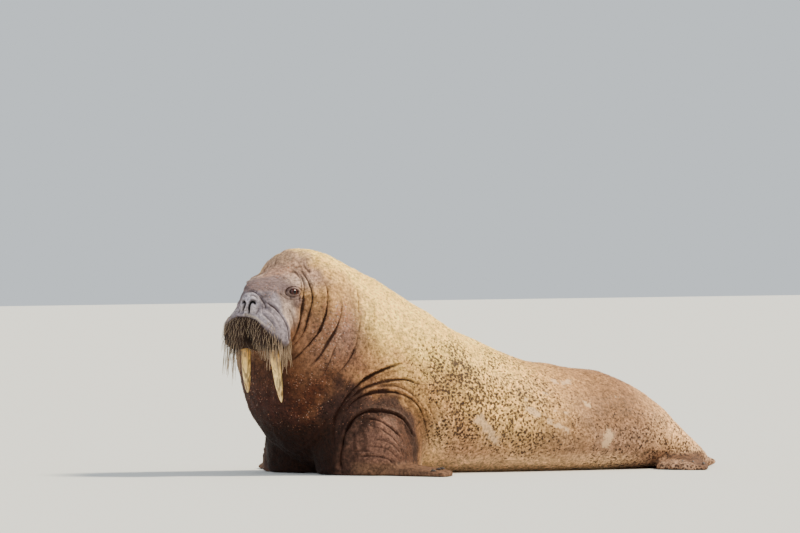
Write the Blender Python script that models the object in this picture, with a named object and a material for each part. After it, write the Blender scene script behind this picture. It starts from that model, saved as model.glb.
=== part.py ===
"""A life-size walrus, lying on its belly with its chest propped on the foreflippers.

Metres, +Z up, the floor at Z = 0. The head points towards -X, and the animal's left side is -Y.
The body is drawn straight, symmetric about Y = 0, and the neck then turns the head to its left.
"""

import math
import random
from collections import namedtuple

import bmesh
import bpy
from mathutils import Matrix, Vector

# The gap that touching pieces keep, and the number of points round the body
GAP = 0.0003
BODY_SIDES = 36
SIDES = (("left", 1.0), ("right", -1.0))

# Moves the whole animal so that its box stands centred on the origin
CENTRE = Vector((-0.728, 0.0, 0.0))

# A ring of the straight body meets the back at one point and the belly at another. Its widest
# place lies at a share of the height between them. Belly points under the floor are laid on it.
Station = namedtuple("Station", "back_x back_z belly_x belly_z half_width widest")
STATIONS = (
    Station(2.040, 0.042, 2.045, 0.010, 0.040, 0.50),
    Station(1.995, 0.084, 2.005, -0.008, 0.105, 0.48),
    Station(1.880, 0.188, 1.890, -0.014, 0.190, 0.46),
    Station(1.700, 0.334, 1.710, -0.018, 0.262, 0.45),
    Station(1.480, 0.450, 1.480, -0.022, 0.322, 0.43),
    Station(1.240, 0.503, 1.240, -0.024, 0.362, 0.42),
    Station(1.000, 0.530, 1.000, -0.026, 0.384, 0.42),
    Station(0.770, 0.614, 0.750, -0.028, 0.398, 0.43),
    Station(0.560, 0.706, 0.520, -0.028, 0.406, 0.45),
    Station(0.370, 0.812, 0.300, -0.024, 0.406, 0.46),
    Station(0.200, 0.902, 0.090, -0.010, 0.400, 0.47),
    Station(0.060, 0.966, -0.090, 0.025, 0.386, 0.48),
    Station(-0.050, 1.014, -0.262, 0.120, 0.366, 0.49),
    Station(-0.140, 1.043, -0.368, 0.250, 0.336, 0.49),
    Station(-0.215, 1.048, -0.402, 0.385, 0.294, 0.48),
    Station(-0.280, 1.026, -0.406, 0.495, 0.244, 0.43),
    Station(-0.335, 0.980, -0.416, 0.566, 0.196, 0.43),
    Station(-0.385, 0.942, -0.440, 0.596, 0.162, 0.46),
    Station(-0.440, 0.914, -0.475, 0.606, 0.142, 0.52),
    Station(-0.500, 0.888, -0.515, 0.622, 0.128, 0.54),
    Station(-0.555, 0.856, -0.550, 0.650, 0.104, 0.54),
    Station(-0.592, 0.818, -0.580, 0.690, 0.062, 0.52),
)
HIND_CUT, NECK_CUT, HEAD_CUT, CUT_STEP = 6.0, 13.0, 16.6, 0.006
RINGS_ALONG_BODY, RINGS_ALONG_NECK, RINGS_ALONG_HEAD = 2, 4, 2

# The turn of the neck to the animal's left, which begins at the shoulder and ends at the cheek
TURN_CENTRE_X = -0.19
HEAD_TURN = math.radians(23.0)
TURN_AXIS = Vector((-0.62, 0.0, 0.78))
TURN_FROM, TURN_TO = 0.50, 0.86

# Folds of the neck, as fractional stations at the back, the side and the throat, with their depth
Fold = namedtuple("Fold", "back side throat depth")
FOLD_WIDTH = 0.24
NECK_FOLDS = (
    Fold(16.6, 16.55, 16.4, 0.008),
    Fold(15.9, 15.95, 16.0, 0.009),
    Fold(15.0, 15.05, 15.4, 0.009),
    Fold(14.2, 14.3, 14.9, 0.009),
    Fold(13.0, 13.3, 14.2, 0.006),
)

# The head is placed from the point midway between the eyes: sizes ahead of it, aside and above
EYES_X, EYES_Z = -0.415, 0.852
EYE_PLACE = Vector((0.000, 0.120, 0.000))
EYE_RADIUS = 0.021
EYE_LOOK = Vector((0.42, 0.90, 0.10)).normalized()
LID_RADIUS, LID_THICK, LID_FLATTEN, LID_FORWARD = 0.0215, 0.0065, 0.74, 0.008
PAD_PLACE = Vector((0.112, 0.060, -0.160))
PAD_HALF = Vector((0.098, 0.116, 0.104))
PAD_SLOPE = 0.16
MUZZLE_PLACE = Vector((0.088, 0.0, -0.112))
MUZZLE_HALF = Vector((0.088, 0.128, 0.088))
NOSE_PLACE = Vector((0.143, 0.0, -0.062))
NOSE_HALF = Vector((0.052, 0.062, 0.056))
NOSTRIL_PLACE = Vector((0.190, 0.021, -0.068))
NOSTRIL_HALF = Vector((0.018, 0.0060, 0.022))
NOSTRIL_SLANT = math.radians(24.0)
JAW_PLACE = Vector((0.062, 0.0, -0.228))
JAW_HALF = Vector((0.100, 0.078, 0.052))

# Tusks, which leave the upper lip; the right one is worn shorter
TUSK_PLACE = Vector((0.092, 0.080, -0.245))
TUSK_SUNK = 0.05
TUSK_HALF_DEEP, TUSK_HALF_WIDE = 0.030, 0.022
TUSK_BACK, TUSK_CURL, TUSK_SPREAD = 0.10, 0.22, 0.053
TUSK_LENGTHS = {"left": 0.268, "right": 0.225}

# Whiskers
WHISKERS_ON_PAD = 80
WHISKER_MIDDLE, WHISKER_SPREAD = Vector((0.62, 0.30, -0.72)).normalized(), math.radians(76.0)
WHISKER_ROWS, WHISKER_OUT, WHISKER_DROOP, WHISKER_ROOM = 3, 0.50, 0.25, 0.006
WHISKER_ROOT, WHISKER_TIP, WHISKER_SUNK = 0.0024, 0.0005, 0.010
WHISKER_SHORT, WHISKER_LONG = 0.032, 0.112

# The shoulder's roll of skin, and the forearm that comes out under it
SHOULDER_PLACE, SHOULDER_HALF = Vector((0.055, 0.212, 0.125)), Vector((0.262, 0.226, 0.425))
FOREARM_PLACE, FOREARM_HALF = Vector((0.010, 0.300, 0.025)), Vector((0.170, 0.222, 0.325))

# Flippers: where the wrist or ankle lies, the way the toes point, length, half width, thickness
Flipper = namedtuple("Flipper", "x aside towards length half_width thick toes toe_slope")
FOREFLIPPER = Flipper(0.015, 0.330, math.radians(-68.0), 0.46, 0.125, 0.062, 5, 0.16)
HIND_FLIPPER = Flipper(1.885, 0.080, math.radians(-124.0), 0.52, 0.125, 0.072, 5, -0.10)
FLIPPER_EDGE = 0.008
FLIPPER_ROWS, POINTS_A_TOE = 6, 3
CLAW_HALF, CLAW_ALONG = Vector((0.015, 0.006, 0.006)), 0.84

# The tail, a short flat stub
TAIL_X, TAIL_Z = 2.010, 0.020
TAIL_HALF = Vector((0.105, 0.055, 0.026))


def smooth(share):
    share = min(1.0, max(0.0, share))
    return share * share * (3.0 - 2.0 * share)


def rotated(point, angle):
    """Turned about the upright line through the neck, towards the animal's left."""
    dx, dy = point.x - TURN_CENTRE_X, point.y
    c, s = math.cos(angle), math.sin(angle)
    return Vector((TURN_CENTRE_X + dx * c - dy * s, dx * s + dy * c, point.z))


def on_body(point):
    """A point of the straight body, once the neck has turned."""
    along = TURN_AXIS.dot(point)
    share = smooth((along - TURN_FROM) / (TURN_TO - TURN_FROM))
    return rotated(point, HEAD_TURN * share) + CENTRE


def on_head(place, sign=1.0):
    """A point of the head from its sizes ahead, aside and above; sign is 1 on the left."""
    straight = Vector((EYES_X - place.x, -sign * place.y, EYES_Z + place.z))
    return rotated(straight, HEAD_TURN) + CENTRE


def on_floor(point):
    return Vector((point.x, point.y, max(point.z, 0.0)))


def spline(rows, place):
    """The row of numbers at a fractional place, on a smooth curve through the rows."""
    last = len(rows) - 1
    i = min(int(place), last - 1)
    t = place - i
    before, a, b, after = (rows[min(max(k, 0), last)] for k in (i - 1, i, i + 1, i + 2))
    return [
        q + 0.5 * t * (r - p + t * (2 * p - 5 * q + 4 * r - s + t * (3 * (q - r) + s - p)))
        for p, q, r, s in zip(before, a, b, after)
    ]


def fold_depth(place, around):
    """How far the neck's folds sink the skin there."""
    up = math.cos(around)
    depth = 0.0
    for fold in NECK_FOLDS:
        end = fold.back if up > 0 else fold.throat
        middle = fold.side + (end - fold.side) * up * up
        reach = 1.0 if up < 0 else 1.0 - 0.85 * up * up
        depth += fold.depth * reach * math.exp(-(((place - middle) / FOLD_WIDTH) ** 2))
    return depth


def body_point(place, around):
    """A point of the straight body, round from the back by the left side to the belly."""
    row = Station(*spline(STATIONS, place))
    middle_x = (row.back_x + row.belly_x) / 2.0
    middle_z = (row.back_z + row.belly_z) / 2.0
    height = ((1.0 + math.cos(around)) / 2.0) ** (math.log(row.widest) / math.log(0.5))
    point = Vector(
        (
            row.belly_x + (row.back_x - row.belly_x) * height,
            -row.half_width * math.sin(around),
            row.belly_z + (row.back_z - row.belly_z) * height,
        )
    )
    inward = Vector((middle_x, 0.0, middle_z)) - point
    return point + inward.normalized() * fold_depth(place, around)


def new_material(name, colour, roughness):
    material = bpy.data.materials.new(name)
    material.use_nodes = True
    shader = material.node_tree.nodes["Principled BSDF"]
    shader.inputs["Base Color"].default_value = (*colour, 1.0)
    shader.inputs["Roughness"].default_value = roughness
    return material


def object_of(name, bm, material, collection):
    bmesh.ops.triangulate(bm, faces=bm.faces)
    bmesh.ops.recalc_face_normals(bm, faces=bm.faces)
    mesh = bpy.data.meshes.new(name)
    bm.to_mesh(mesh)
    bm.free()
    mesh.shade_smooth()
    mesh.materials.append(material)
    made = bpy.data.objects.new(name, mesh)
    collection.objects.link(made)
    return made


def loft(name, rings, material, collection):
    """One closed body through rings of equally many points, with a fan on each end."""
    bm = bmesh.new()
    rows = [[bm.verts.new(p) for p in ring] for ring in rings]
    count = len(rows[0])
    for near, far in zip(rows, rows[1:]):
        for k in range(count):
            n = (k + 1) % count
            bm.faces.new((near[k], near[n], far[n], far[k]))
    for row in (rows[0], rows[-1]):
        cap = bm.faces.new(row)
        bmesh.ops.poke(bm, faces=[cap])
    return object_of(name, bm, material, collection)


def ball(name, half, move, material, collection, sides=20, rings=12):
    """A closed ellipsoid whose every point is then moved to its place."""
    bm = bmesh.new()
    bmesh.ops.create_uvsphere(bm, u_segments=sides, v_segments=rings, radius=1.0)
    for v in bm.verts:
        v.co = move(Vector((v.co.x * half.x, v.co.y * half.y, v.co.z * half.z)))
    return object_of(name, bm, material, collection)


def evaluated(obj):
    graph = bpy.context.evaluated_depsgraph_get()
    return bpy.data.meshes.new_from_object(obj.evaluated_get(graph))


def largest_only(obj):
    """Drops loose scraps, so that the piece is one closed surface."""
    bm = bmesh.new()
    bm.from_mesh(obj.data)
    left = set(bm.verts)
    groups = []
    while left:
        edge = [left.pop()]
        group = set(edge)
        while edge:
            for link in edge.pop().link_edges:
                for v in link.verts:
                    if v in left:
                        left.discard(v)
                        group.add(v)
                        edge.append(v)
        groups.append(group)
    biggest = max(groups, key=len)
    bmesh.ops.delete(bm, geom=[v for v in bm.verts if v not in biggest], context="VERTS")
    bm.to_mesh(obj.data)
    bm.free()


def grown(obj, by, cutters):
    """A copy of a piece, grown by the gap, to cut its neighbour with."""
    copy = obj.copy()
    copy.data = obj.data.copy()
    copy.name = obj.name + "_grown"
    copy.hide_render = True
    copy.display_type = "WIRE"
    cutters.objects.link(copy)
    for v, place in zip(copy.data.vertices, [v.co + v.normal * by for v in obj.data.vertices]):
        v.co = place
    return copy


def join(obj, others, operation):
    """Applies one Boolean with every other piece, and keeps the largest closed surface."""
    group = bpy.data.collections.new("group")
    for other in others:
        group.objects.link(other)
    cut = obj.modifiers.new("join", "BOOLEAN")
    cut.operation = operation
    cut.operand_type = "COLLECTION"
    cut.collection = group
    cut.solver = "EXACT"
    mesh = evaluated(obj)
    obj.modifiers.clear()
    obj.data = mesh
    bpy.data.collections.remove(group)
    largest_only(obj)


def cut_clear(obj, others, cutters):
    """Cuts a piece clear of its neighbours, leaving the gap between them."""
    join(obj, [grown(other, GAP, cutters) for other in others], "DIFFERENCE")


def fuse(obj, others):
    join(obj, others, "UNION")
    for other in others:
        bpy.data.objects.remove(other)


def body_length(name, start, end, material, collection):
    """The part of the body between two fractional stations."""
    places = [start]
    for station in range(math.floor(start), math.ceil(end)):
        steps = RINGS_ALONG_BODY if station < NECK_CUT else RINGS_ALONG_NECK
        if station > HEAD_CUT:
            steps = RINGS_ALONG_HEAD
        places += [station + k / steps for k in range(steps)]
    places = [p for p in places if start < p < end]
    around = [2.0 * math.pi * k / BODY_SIDES for k in range(BODY_SIDES)]
    rings = [
        [on_floor(on_body(body_point(p, a))) for a in around] for p in (start, *places, end)
    ]
    return loft(name, rings, material, collection)


def tusk_middle(drop):
    """The middle of a tusk, as a place on the head, at a drop below the lip."""
    back = TUSK_BACK * drop + TUSK_CURL * drop * abs(drop)
    return TUSK_PLACE + Vector((-back, TUSK_SPREAD * drop, -drop))


def tusk(side, sign, material, collection):
    length = TUSK_LENGTHS[side]
    rows, sides = 10, 12
    rings = []
    for k in range(rows + 1):
        t = k / rows
        drop = length * t - TUSK_SUNK * (1.0 - t)
        centre = tusk_middle(drop)
        slim = (1.0 - 0.30 * t) * math.sqrt(max(0.02, 1.0 - max(0.0, (t - 0.45) / 0.55) ** 2.4))
        ring = []
        for j in range(sides):
            a = 2.0 * math.pi * j / sides
            around = Vector((TUSK_HALF_DEEP * math.cos(a), TUSK_HALF_WIDE * math.sin(a), 0.0))
            ring.append(on_head(centre + around * slim, sign))
        rings.append(ring)
    return loft("tusk_" + side, rings, material, collection)


def flipper_axes(form, sign):
    """The way the toes point on the floor, and the way across them."""
    ahead = Vector((math.cos(form.towards), sign * math.sin(form.towards), 0.0))
    return ahead, Vector((-ahead.y, ahead.x, 0.0)) * sign


def flipper_point(form, sign, t, u):
    """A point on top of a flipper, at a share t along it and from -1 to 1 across it."""
    ahead, across = flipper_axes(form, sign)
    spread = form.half_width * (0.62 + 0.38 * smooth(t / 0.7))
    toe = abs(math.sin(math.pi * form.toes * (u + 1.0) / 2.0))
    reach = form.length * (1.0 - form.toe_slope * u - 0.10 * u * u) - 0.035 * (1.0 - toe) * t
    crown = math.sqrt(max(0.0, 1.0 - 0.93 * u * u))
    high = FLIPPER_EDGE + form.thick * (1.0 - 0.82 * t) * crown + 0.007 * toe * smooth(t * 2.0)
    root = Vector((form.x, -sign * form.aside, high)) + CENTRE
    return root + ahead * (reach * t) + across * (u * spread)


def flipper(name, form, sign, material, collection):
    """A flat hand on the floor, its toes raised as ridges that end in a scalloped edge."""
    steps = form.toes * POINTS_A_TOE
    shares = [2.0 * j / steps - 1.0 for j in range(steps + 1)]
    rings = []
    for k in range(FLIPPER_ROWS + 1):
        top = [flipper_point(form, sign, k / FLIPPER_ROWS, u) for u in shares]
        rings.append(top + [Vector((p.x, p.y, 0.0)) for p in reversed(top)])
    return loft(name, rings, material, collection)


def claws(name, form, sign, material, collection):
    """One small nail on the back of each toe, a little short of its end."""
    ahead, across = flipper_axes(form, sign)
    made = []
    for toe in range(form.toes):
        root = flipper_point(form, sign, CLAW_ALONG, (2.0 * toe + 1.0) / form.toes - 1.0)

        def move(p, root=root):
            return root + ahead * p.x + across * p.y + Vector((0.0, 0.0, p.z))

        made.append(ball(f"{name}_claw_{toe}", CLAW_HALF, move, material, collection, 8, 5))
    return made


def whisker_line(root, out, side_turn, length):
    """The middle line of a bristle, which leaves the pad and droops."""
    across = out.cross(Vector((0.0, 0.0, 1.0))).normalized()
    line = []
    for k in range(WHISKER_ROWS + 1):
        t = k / WHISKER_ROWS
        reach = (length * t - WHISKER_SUNK * (1.0 - t)) * (1.0 - 0.25 * t)
        droop = Vector((0.0, 0.0, -WHISKER_DROOP * length * t * t))
        line.append(root + out * reach + droop + across * (side_turn * t * t))
    return line


def whisker_clear(line):
    """Whether a bristle stays clear of the tusk, the chin and the other pad."""
    for place in line:
        tooth = tusk_middle(TUSK_PLACE.z - place.z)
        aside = math.hypot(place.x - tooth.x, place.y - tooth.y)
        chin = place - JAW_PLACE
        chin_share = math.hypot(chin.x / JAW_HALF.x, chin.y / JAW_HALF.y, chin.z / JAW_HALF.z)
        if aside < TUSK_HALF_DEEP + WHISKER_ROOM or chin_share < 1.15 or place.y < WHISKER_ROOM:
            return False
    return True


def whisker(name, line, out, sign, material, collection):
    """A tapered three-sided bristle along its line."""
    across = out.cross(Vector((0.0, 0.0, 1.0))).normalized()
    beside = across.cross(out)
    bm = bmesh.new()
    rows = []
    for k, centre in enumerate(line):
        thick = WHISKER_ROOT + (WHISKER_TIP - WHISKER_ROOT) * k / WHISKER_ROWS
        turns = [2.0 * math.pi * j / 3 for j in range(3)]
        ring = [centre + across * (thick * math.cos(a)) + beside * (thick * math.sin(a)) for a in turns]
        rows.append([bm.verts.new(on_head(p, sign)) for p in ring])
    for near, far in zip(rows, rows[1:]):
        for j in range(3):
            n = (j + 1) % 3
            bm.faces.new((near[j], near[n], far[n], far[j]))
    bm.faces.new(rows[0])
    bm.faces.new(rows[-1])
    return object_of(name, bm, material, collection)


def pad_place(p):
    """A place on the head for a point of a pad, whose outer end hangs lower."""
    place = PAD_PLACE + p
    place.z -= PAD_SLOPE * p.y
    return place


def whiskers(side, sign, material, collection):
    """Bristles spread evenly over the front and underside of one pad."""
    draw = random.Random("whiskers " + side)
    golden = math.pi * (3.0 - math.sqrt(5.0))
    right = (Vector((0.0, 1.0, 0.0)) - WHISKER_MIDDLE * WHISKER_MIDDLE.y).normalized()
    upward = WHISKER_MIDDLE.cross(right)
    made = []
    for k in range(WHISKERS_ON_PAD):
        lean = WHISKER_SPREAD * math.sqrt((k + 0.5) / WHISKERS_ON_PAD)
        ring = right * math.cos(golden * k) + upward * math.sin(golden * k)
        way = WHISKER_MIDDLE * math.cos(lean) + ring * math.sin(lean)
        root = pad_place(way * PAD_HALF)
        normal = Vector((way.x / PAD_HALF.x, way.y / PAD_HALF.y, way.z / PAD_HALF.z)).normalized()
        out = (normal * WHISKER_OUT + Vector((0.0, 0.0, -1.0))).normalized()
        longer = smooth((root.y - 0.05) / 0.10) * draw.uniform(0.75, 1.0)
        length = WHISKER_SHORT + (WHISKER_LONG - WHISKER_SHORT) * longer
        line = whisker_line(root, out, draw.uniform(-0.012, 0.012), length)
        if whisker_clear(line):
            made.append(whisker(f"whisker_{side}_{k}", line, out, sign, material, collection))
    return made


def whisker_pad(side, sign, material, collection):
    """A swollen pad, flattened where it meets the other one under the nose."""

    def move(p):
        place = pad_place(p)
        place.y = max(place.y, GAP / 2.0)
        return on_head(place, sign)

    return ball("whisker_pad_" + side, PAD_HALF, move, material, collection, 20, 12)


def head_ball(name, place, half, material, collection, sides, rings, sign=1.0):
    return ball(name, half, lambda p: on_head(place + p, sign), material, collection, sides, rings)


def body_ball(name, place, half, sign, material, collection, sides, rings):
    """An ellipsoid on one side of the body, flat where it meets the floor."""

    def move(p):
        return on_floor(Vector((place.x + p.x, -sign * (place.y + p.y), place.z + p.z))) + CENTRE

    return ball(name, half, move, material, collection, sides, rings)


def lids(side, sign, material, collection):
    """A ring of lid round an eye, wider than it is high."""
    look = EYE_LOOK.to_track_quat("Z", "Y").to_matrix()
    rings, points = 16, 6
    bm = bmesh.new()
    rows = []
    for j in range(rings):
        a = 2.0 * math.pi * j / rings
        row = []
        for m in range(points):
            b = 2.0 * math.pi * m / points
            out = LID_RADIUS + LID_THICK * math.cos(b)
            flat = Vector((out * math.cos(a), LID_FLATTEN * out * math.sin(a), 0.0))
            flat.z = LID_FORWARD + LID_THICK * math.sin(b)
            row.append(bm.verts.new(on_head(EYE_PLACE + look @ flat, sign)))
        rows.append(row)
    for near, far in zip(rows, rows[1:] + rows[:1]):
        for m in range(points):
            n = (m + 1) % points
            bm.faces.new((near[m], near[n], far[n], far[m]))
    return object_of("lids_" + side, bm, material, collection)


def nostril(sign, material, cutters):
    slant = Matrix.Rotation(NOSTRIL_SLANT, 3, "X")
    return ball(
        "nostril",
        NOSTRIL_HALF,
        lambda p: on_head(NOSTRIL_PLACE + slant @ p, sign),
        material,
        cutters,
        10,
        6,
    )


def face_of(head, neck, face, ivory, eye_dark, walrus, cutters):
    """The muzzle, nose, chin, whisker pads, tusks, eyes and lids."""
    fuse(head, [head_ball("muzzle", MUZZLE_PLACE, MUZZLE_HALF, face, walrus, 20, 12)])
    pads = [whisker_pad(side, sign, face, walrus) for side, sign in SIDES]
    for pad in pads:
        cut_clear(pad, [head, neck], cutters)
    nose = head_ball("nose", NOSE_PLACE, NOSE_HALF, face, walrus, 18, 12)
    cut_clear(nose, [head, *pads], cutters)
    join(nose, [nostril(sign, face, cutters) for side, sign in SIDES], "DIFFERENCE")
    chin = head_ball("lower_jaw", JAW_PLACE, JAW_HALF, face, walrus, 14, 8)
    cut_clear(chin, [head, neck, *pads], cutters)
    for (side, sign), pad in zip(SIDES, pads):
        tooth = tusk(side, sign, ivory, walrus)
        cut_clear(tooth, [pad, chin, head, neck], cutters)
        fuse(pad, whiskers(side, sign, face, walrus))
        eye_half = Vector((EYE_RADIUS, EYE_RADIUS, EYE_RADIUS))
        eye = head_ball("eye_" + side, EYE_PLACE, eye_half, eye_dark, walrus, 16, 10, sign)
        fuse(head, [lids(side, sign, face, walrus)])
        cut_clear(head, [eye], cutters)


def build():
    for old in list(bpy.data.objects):
        bpy.data.objects.remove(old)
    walrus = bpy.data.collections.new("walrus")
    cutters = bpy.data.collections.new("cutters")
    bpy.context.scene.collection.children.link(walrus)
    bpy.context.scene.collection.children.link(cutters)

    hide = new_material("hide", (0.36, 0.23, 0.15), 0.75)
    face = new_material("face", (0.26, 0.21, 0.20), 0.70)
    bare = new_material("flipper_skin", (0.18, 0.12, 0.09), 0.65)
    ivory = new_material("ivory", (0.76, 0.62, 0.38), 0.35)
    eye_dark = new_material("eye", (0.04, 0.015, 0.010), 0.10)

    hindquarters = body_length("hindquarters", 0.0, HIND_CUT, hide, walrus)
    torso = body_length("torso", HIND_CUT + CUT_STEP, NECK_CUT, hide, walrus)
    neck = body_length("neck", NECK_CUT + 2.0 * CUT_STEP, HEAD_CUT, hide, walrus)
    head = body_length("head", HEAD_CUT + 2.0 * CUT_STEP, len(STATIONS) - 1.0, face, walrus)
    face_of(head, neck, face, ivory, eye_dark, walrus, cutters)

    for side, sign in SIDES:
        shoulder = ("shoulder_" + side, SHOULDER_PLACE, SHOULDER_HALF)
        fuse(torso, [body_ball(*shoulder, sign, hide, walrus, 28, 16)])
        arm = body_ball("arm_" + side, FOREARM_PLACE, FOREARM_HALF, sign, hide, walrus, 24, 16)
        cut_clear(arm, [torso], cutters)
        for name, form, neighbours in (
            ("foreflipper_" + side, FOREFLIPPER, [arm, torso]),
            ("hind_flipper_" + side, HIND_FLIPPER, [hindquarters]),
        ):
            hand = flipper(name, form, sign, bare, walrus)
            fuse(hand, claws(name, form, sign, bare, walrus))
            cut_clear(hand, neighbours, cutters)

    tail = body_ball("tail", Vector((TAIL_X, 0.0, TAIL_Z)), TAIL_HALF, 1.0, hide, walrus, 14, 8)
    cut_clear(tail, [hindquarters], cutters)
    for helper in list(cutters.objects):
        bpy.data.objects.remove(helper)


build()
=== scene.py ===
# %% [markdown]
# # A walrus resting on its belly
# The solids of the walrus come in first, as a fixed frame in metres with the floor at Z = 0 and the
# head towards -X. Everything made here is laid over that frame, so its box is kept for later.

# %% The frame and its box
import math
from collections import namedtuple

import bmesh
import bpy
import numpy as np
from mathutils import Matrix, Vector
from mathutils.bvhtree import BVHTree


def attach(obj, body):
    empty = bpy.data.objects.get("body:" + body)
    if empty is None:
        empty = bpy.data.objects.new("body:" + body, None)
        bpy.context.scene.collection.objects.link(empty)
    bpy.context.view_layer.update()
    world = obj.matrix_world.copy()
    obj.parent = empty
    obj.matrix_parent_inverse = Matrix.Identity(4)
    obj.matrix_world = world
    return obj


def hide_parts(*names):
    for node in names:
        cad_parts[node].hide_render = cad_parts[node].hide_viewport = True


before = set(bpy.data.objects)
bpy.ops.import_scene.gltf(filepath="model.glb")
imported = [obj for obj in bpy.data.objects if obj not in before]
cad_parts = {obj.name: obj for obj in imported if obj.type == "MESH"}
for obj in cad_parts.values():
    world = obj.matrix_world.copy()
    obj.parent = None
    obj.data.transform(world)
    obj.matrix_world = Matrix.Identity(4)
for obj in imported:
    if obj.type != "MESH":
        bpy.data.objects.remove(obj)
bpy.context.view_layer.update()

print("nodes in the frame:", len(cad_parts))

# %% [markdown]
# ## The camera
# The animal is seen from its front left, a little above the floor, from far off. A long lens a long
# way back keeps the sizes true along the body, which a near camera would not.

# %% Camera
IMAGE_WIDE, IMAGE_HIGH = 800, 533
PIXELS_A_METRE = 215.0
CAMERA_TURN, CAMERA_RISE = math.radians(-32.0), math.radians(1.2)
CAMERA_AWAY = 100.0
SENSOR = 36.0
CENTRE = np.array((-0.728, 0.0, 0.0))
CENTRE_PIXEL = np.array((334.0, 473.0))

view_right = np.array((math.cos(CAMERA_TURN), math.sin(CAMERA_TURN), 0.0))
view_back = np.array(
    (
        math.sin(CAMERA_TURN) * math.cos(CAMERA_RISE),
        -math.cos(CAMERA_TURN) * math.cos(CAMERA_RISE),
        math.sin(CAMERA_RISE),
    )
)
view_up = np.cross(view_back, view_right)


def in_picture_plane(pixel):
    """The point of the plane through the middle of the animal that the camera sees at a pixel."""
    right, down = (np.array(pixel) - CENTRE_PIXEL) / PIXELS_A_METRE
    return CENTRE + view_right * right - view_up * down


aim = in_picture_plane((IMAGE_WIDE / 2, IMAGE_HIGH / 2))
eyepoint = aim + view_back * CAMERA_AWAY
camera = bpy.data.objects.new("camera", bpy.data.cameras.new("camera"))
bpy.context.scene.collection.objects.link(camera)
camera.location = eyepoint
camera.rotation_mode = "QUATERNION"
camera.rotation_quaternion = Vector(-view_back).to_track_quat("-Z", "Y")
camera.data.sensor_width = SENSOR
camera.data.lens = SENSOR * CAMERA_AWAY * PIXELS_A_METRE / IMAGE_WIDE
camera.data.clip_start, camera.data.clip_end = 1.0, 400.0
bpy.context.scene.camera = camera
print("lens", round(camera.data.lens), "mm")

# %% [markdown]
# ## Floor and light
# A plain pale floor and a pale sky all round give soft light from every side. One broad warm lamp
# from behind, high on the right, lights the back and leaves the chest in shade, and a weak cool one
# from the left keeps the face readable. Suns are used because they light a big animal evenly.


# %% Floor, sky and lamps
def principled(name):
    """A new material and its shader."""
    material = bpy.data.materials.new(name)
    material.use_nodes = True
    return material, material.node_tree.nodes["Principled BSDF"]


def sun(name, azimuth, elevation, strength, colour, softness):
    """A sun that shines from an azimuth and elevation, both in degrees."""
    lamp = bpy.data.lights.new(name, "SUN")
    lamp.energy = strength
    lamp.color = colour
    lamp.angle = math.radians(softness)
    holder = bpy.data.objects.new(name, lamp)
    bpy.context.scene.collection.objects.link(holder)
    a, e = math.radians(azimuth), math.radians(elevation)
    source = Vector((math.sin(a) * math.cos(e), -math.cos(a) * math.cos(e), math.sin(e)))
    holder.rotation_mode = "QUATERNION"
    holder.rotation_quaternion = (-source).to_track_quat("-Z", "Y")


FLOOR_HALF = 30.0
floor_mesh = bpy.data.meshes.new("floor")
corners = [(x * FLOOR_HALF, y * FLOOR_HALF, 0.0) for x, y in ((-1, -1), (1, -1), (1, 1), (-1, 1))]
floor_mesh.from_pydata(corners, [], [(0, 1, 2, 3)])
floor = bpy.data.objects.new("floor", floor_mesh)
bpy.context.scene.collection.objects.link(floor)
floor_material, floor_shader = principled("pale_floor")
floor_shader.inputs["Base Color"].default_value = (0.68, 0.67, 0.64, 1.0)
floor_shader.inputs["Roughness"].default_value = 0.9
floor_mesh.materials.append(floor_material)

sky = bpy.data.worlds.new("sky")
sky.use_nodes = True
sky.node_tree.nodes["Background"].inputs["Color"].default_value = (0.80, 0.87, 0.92, 1.0)
sky.node_tree.nodes["Background"].inputs["Strength"].default_value = 0.90
bpy.context.scene.world = sky
sun("key", 68.0, 46.0, 6.8, (1.0, 0.91, 0.70), 9.0)
sun("fill", -60.0, 40.0, 0.7, (0.90, 0.95, 1.0), 40.0)
print("floor", 2 * FLOOR_HALF, "m wide")

# %% [markdown]
# ## The body's named sizes
# The skin is drawn from the sizes of the solids, with the back a little lower over the shoulders'
# rear, the loins and the rump, so it lies on them without any fitting. Each station is one ring of
# the straight body: where it meets the back and the belly, how wide it is and at what share of its
# height it is widest. The neck then turns the head to the animal's left.

# %% Sizes of the body
STATIONS = np.array(
    (
        (2.040, 0.042, 2.045, 0.010, 0.040, 0.50),
        (1.995, 0.084, 2.005, -0.008, 0.105, 0.48),
        (1.880, 0.174, 1.890, -0.014, 0.190, 0.46),
        (1.700, 0.326, 1.710, -0.018, 0.262, 0.45),
        (1.480, 0.434, 1.480, -0.022, 0.322, 0.43),
        (1.240, 0.480, 1.240, -0.024, 0.362, 0.42),
        (1.000, 0.513, 1.000, -0.026, 0.384, 0.42),
        (0.770, 0.601, 0.750, -0.028, 0.398, 0.43),
        (0.560, 0.688, 0.520, -0.028, 0.406, 0.45),
        (0.370, 0.798, 0.300, -0.024, 0.406, 0.46),
        (0.200, 0.898, 0.090, -0.010, 0.400, 0.47),
        (0.060, 0.966, -0.090, 0.025, 0.386, 0.48),
        (-0.050, 1.014, -0.262, 0.120, 0.366, 0.49),
        (-0.140, 1.043, -0.368, 0.250, 0.336, 0.49),
        (-0.215, 1.048, -0.402, 0.385, 0.294, 0.48),
        (-0.280, 1.026, -0.406, 0.495, 0.244, 0.43),
        (-0.335, 0.980, -0.416, 0.566, 0.196, 0.43),
        (-0.385, 0.942, -0.440, 0.596, 0.162, 0.46),
        (-0.440, 0.914, -0.475, 0.606, 0.142, 0.52),
        (-0.500, 0.888, -0.515, 0.622, 0.128, 0.54),
        (-0.555, 0.856, -0.550, 0.650, 0.104, 0.54),
        (-0.592, 0.818, -0.580, 0.690, 0.062, 0.52),
    )
)
TURN_CENTRE_X = -0.19
HEAD_TURN = math.radians(23.0)
TURN_AXIS = np.array((-0.62, 0.0, 0.78))
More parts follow.
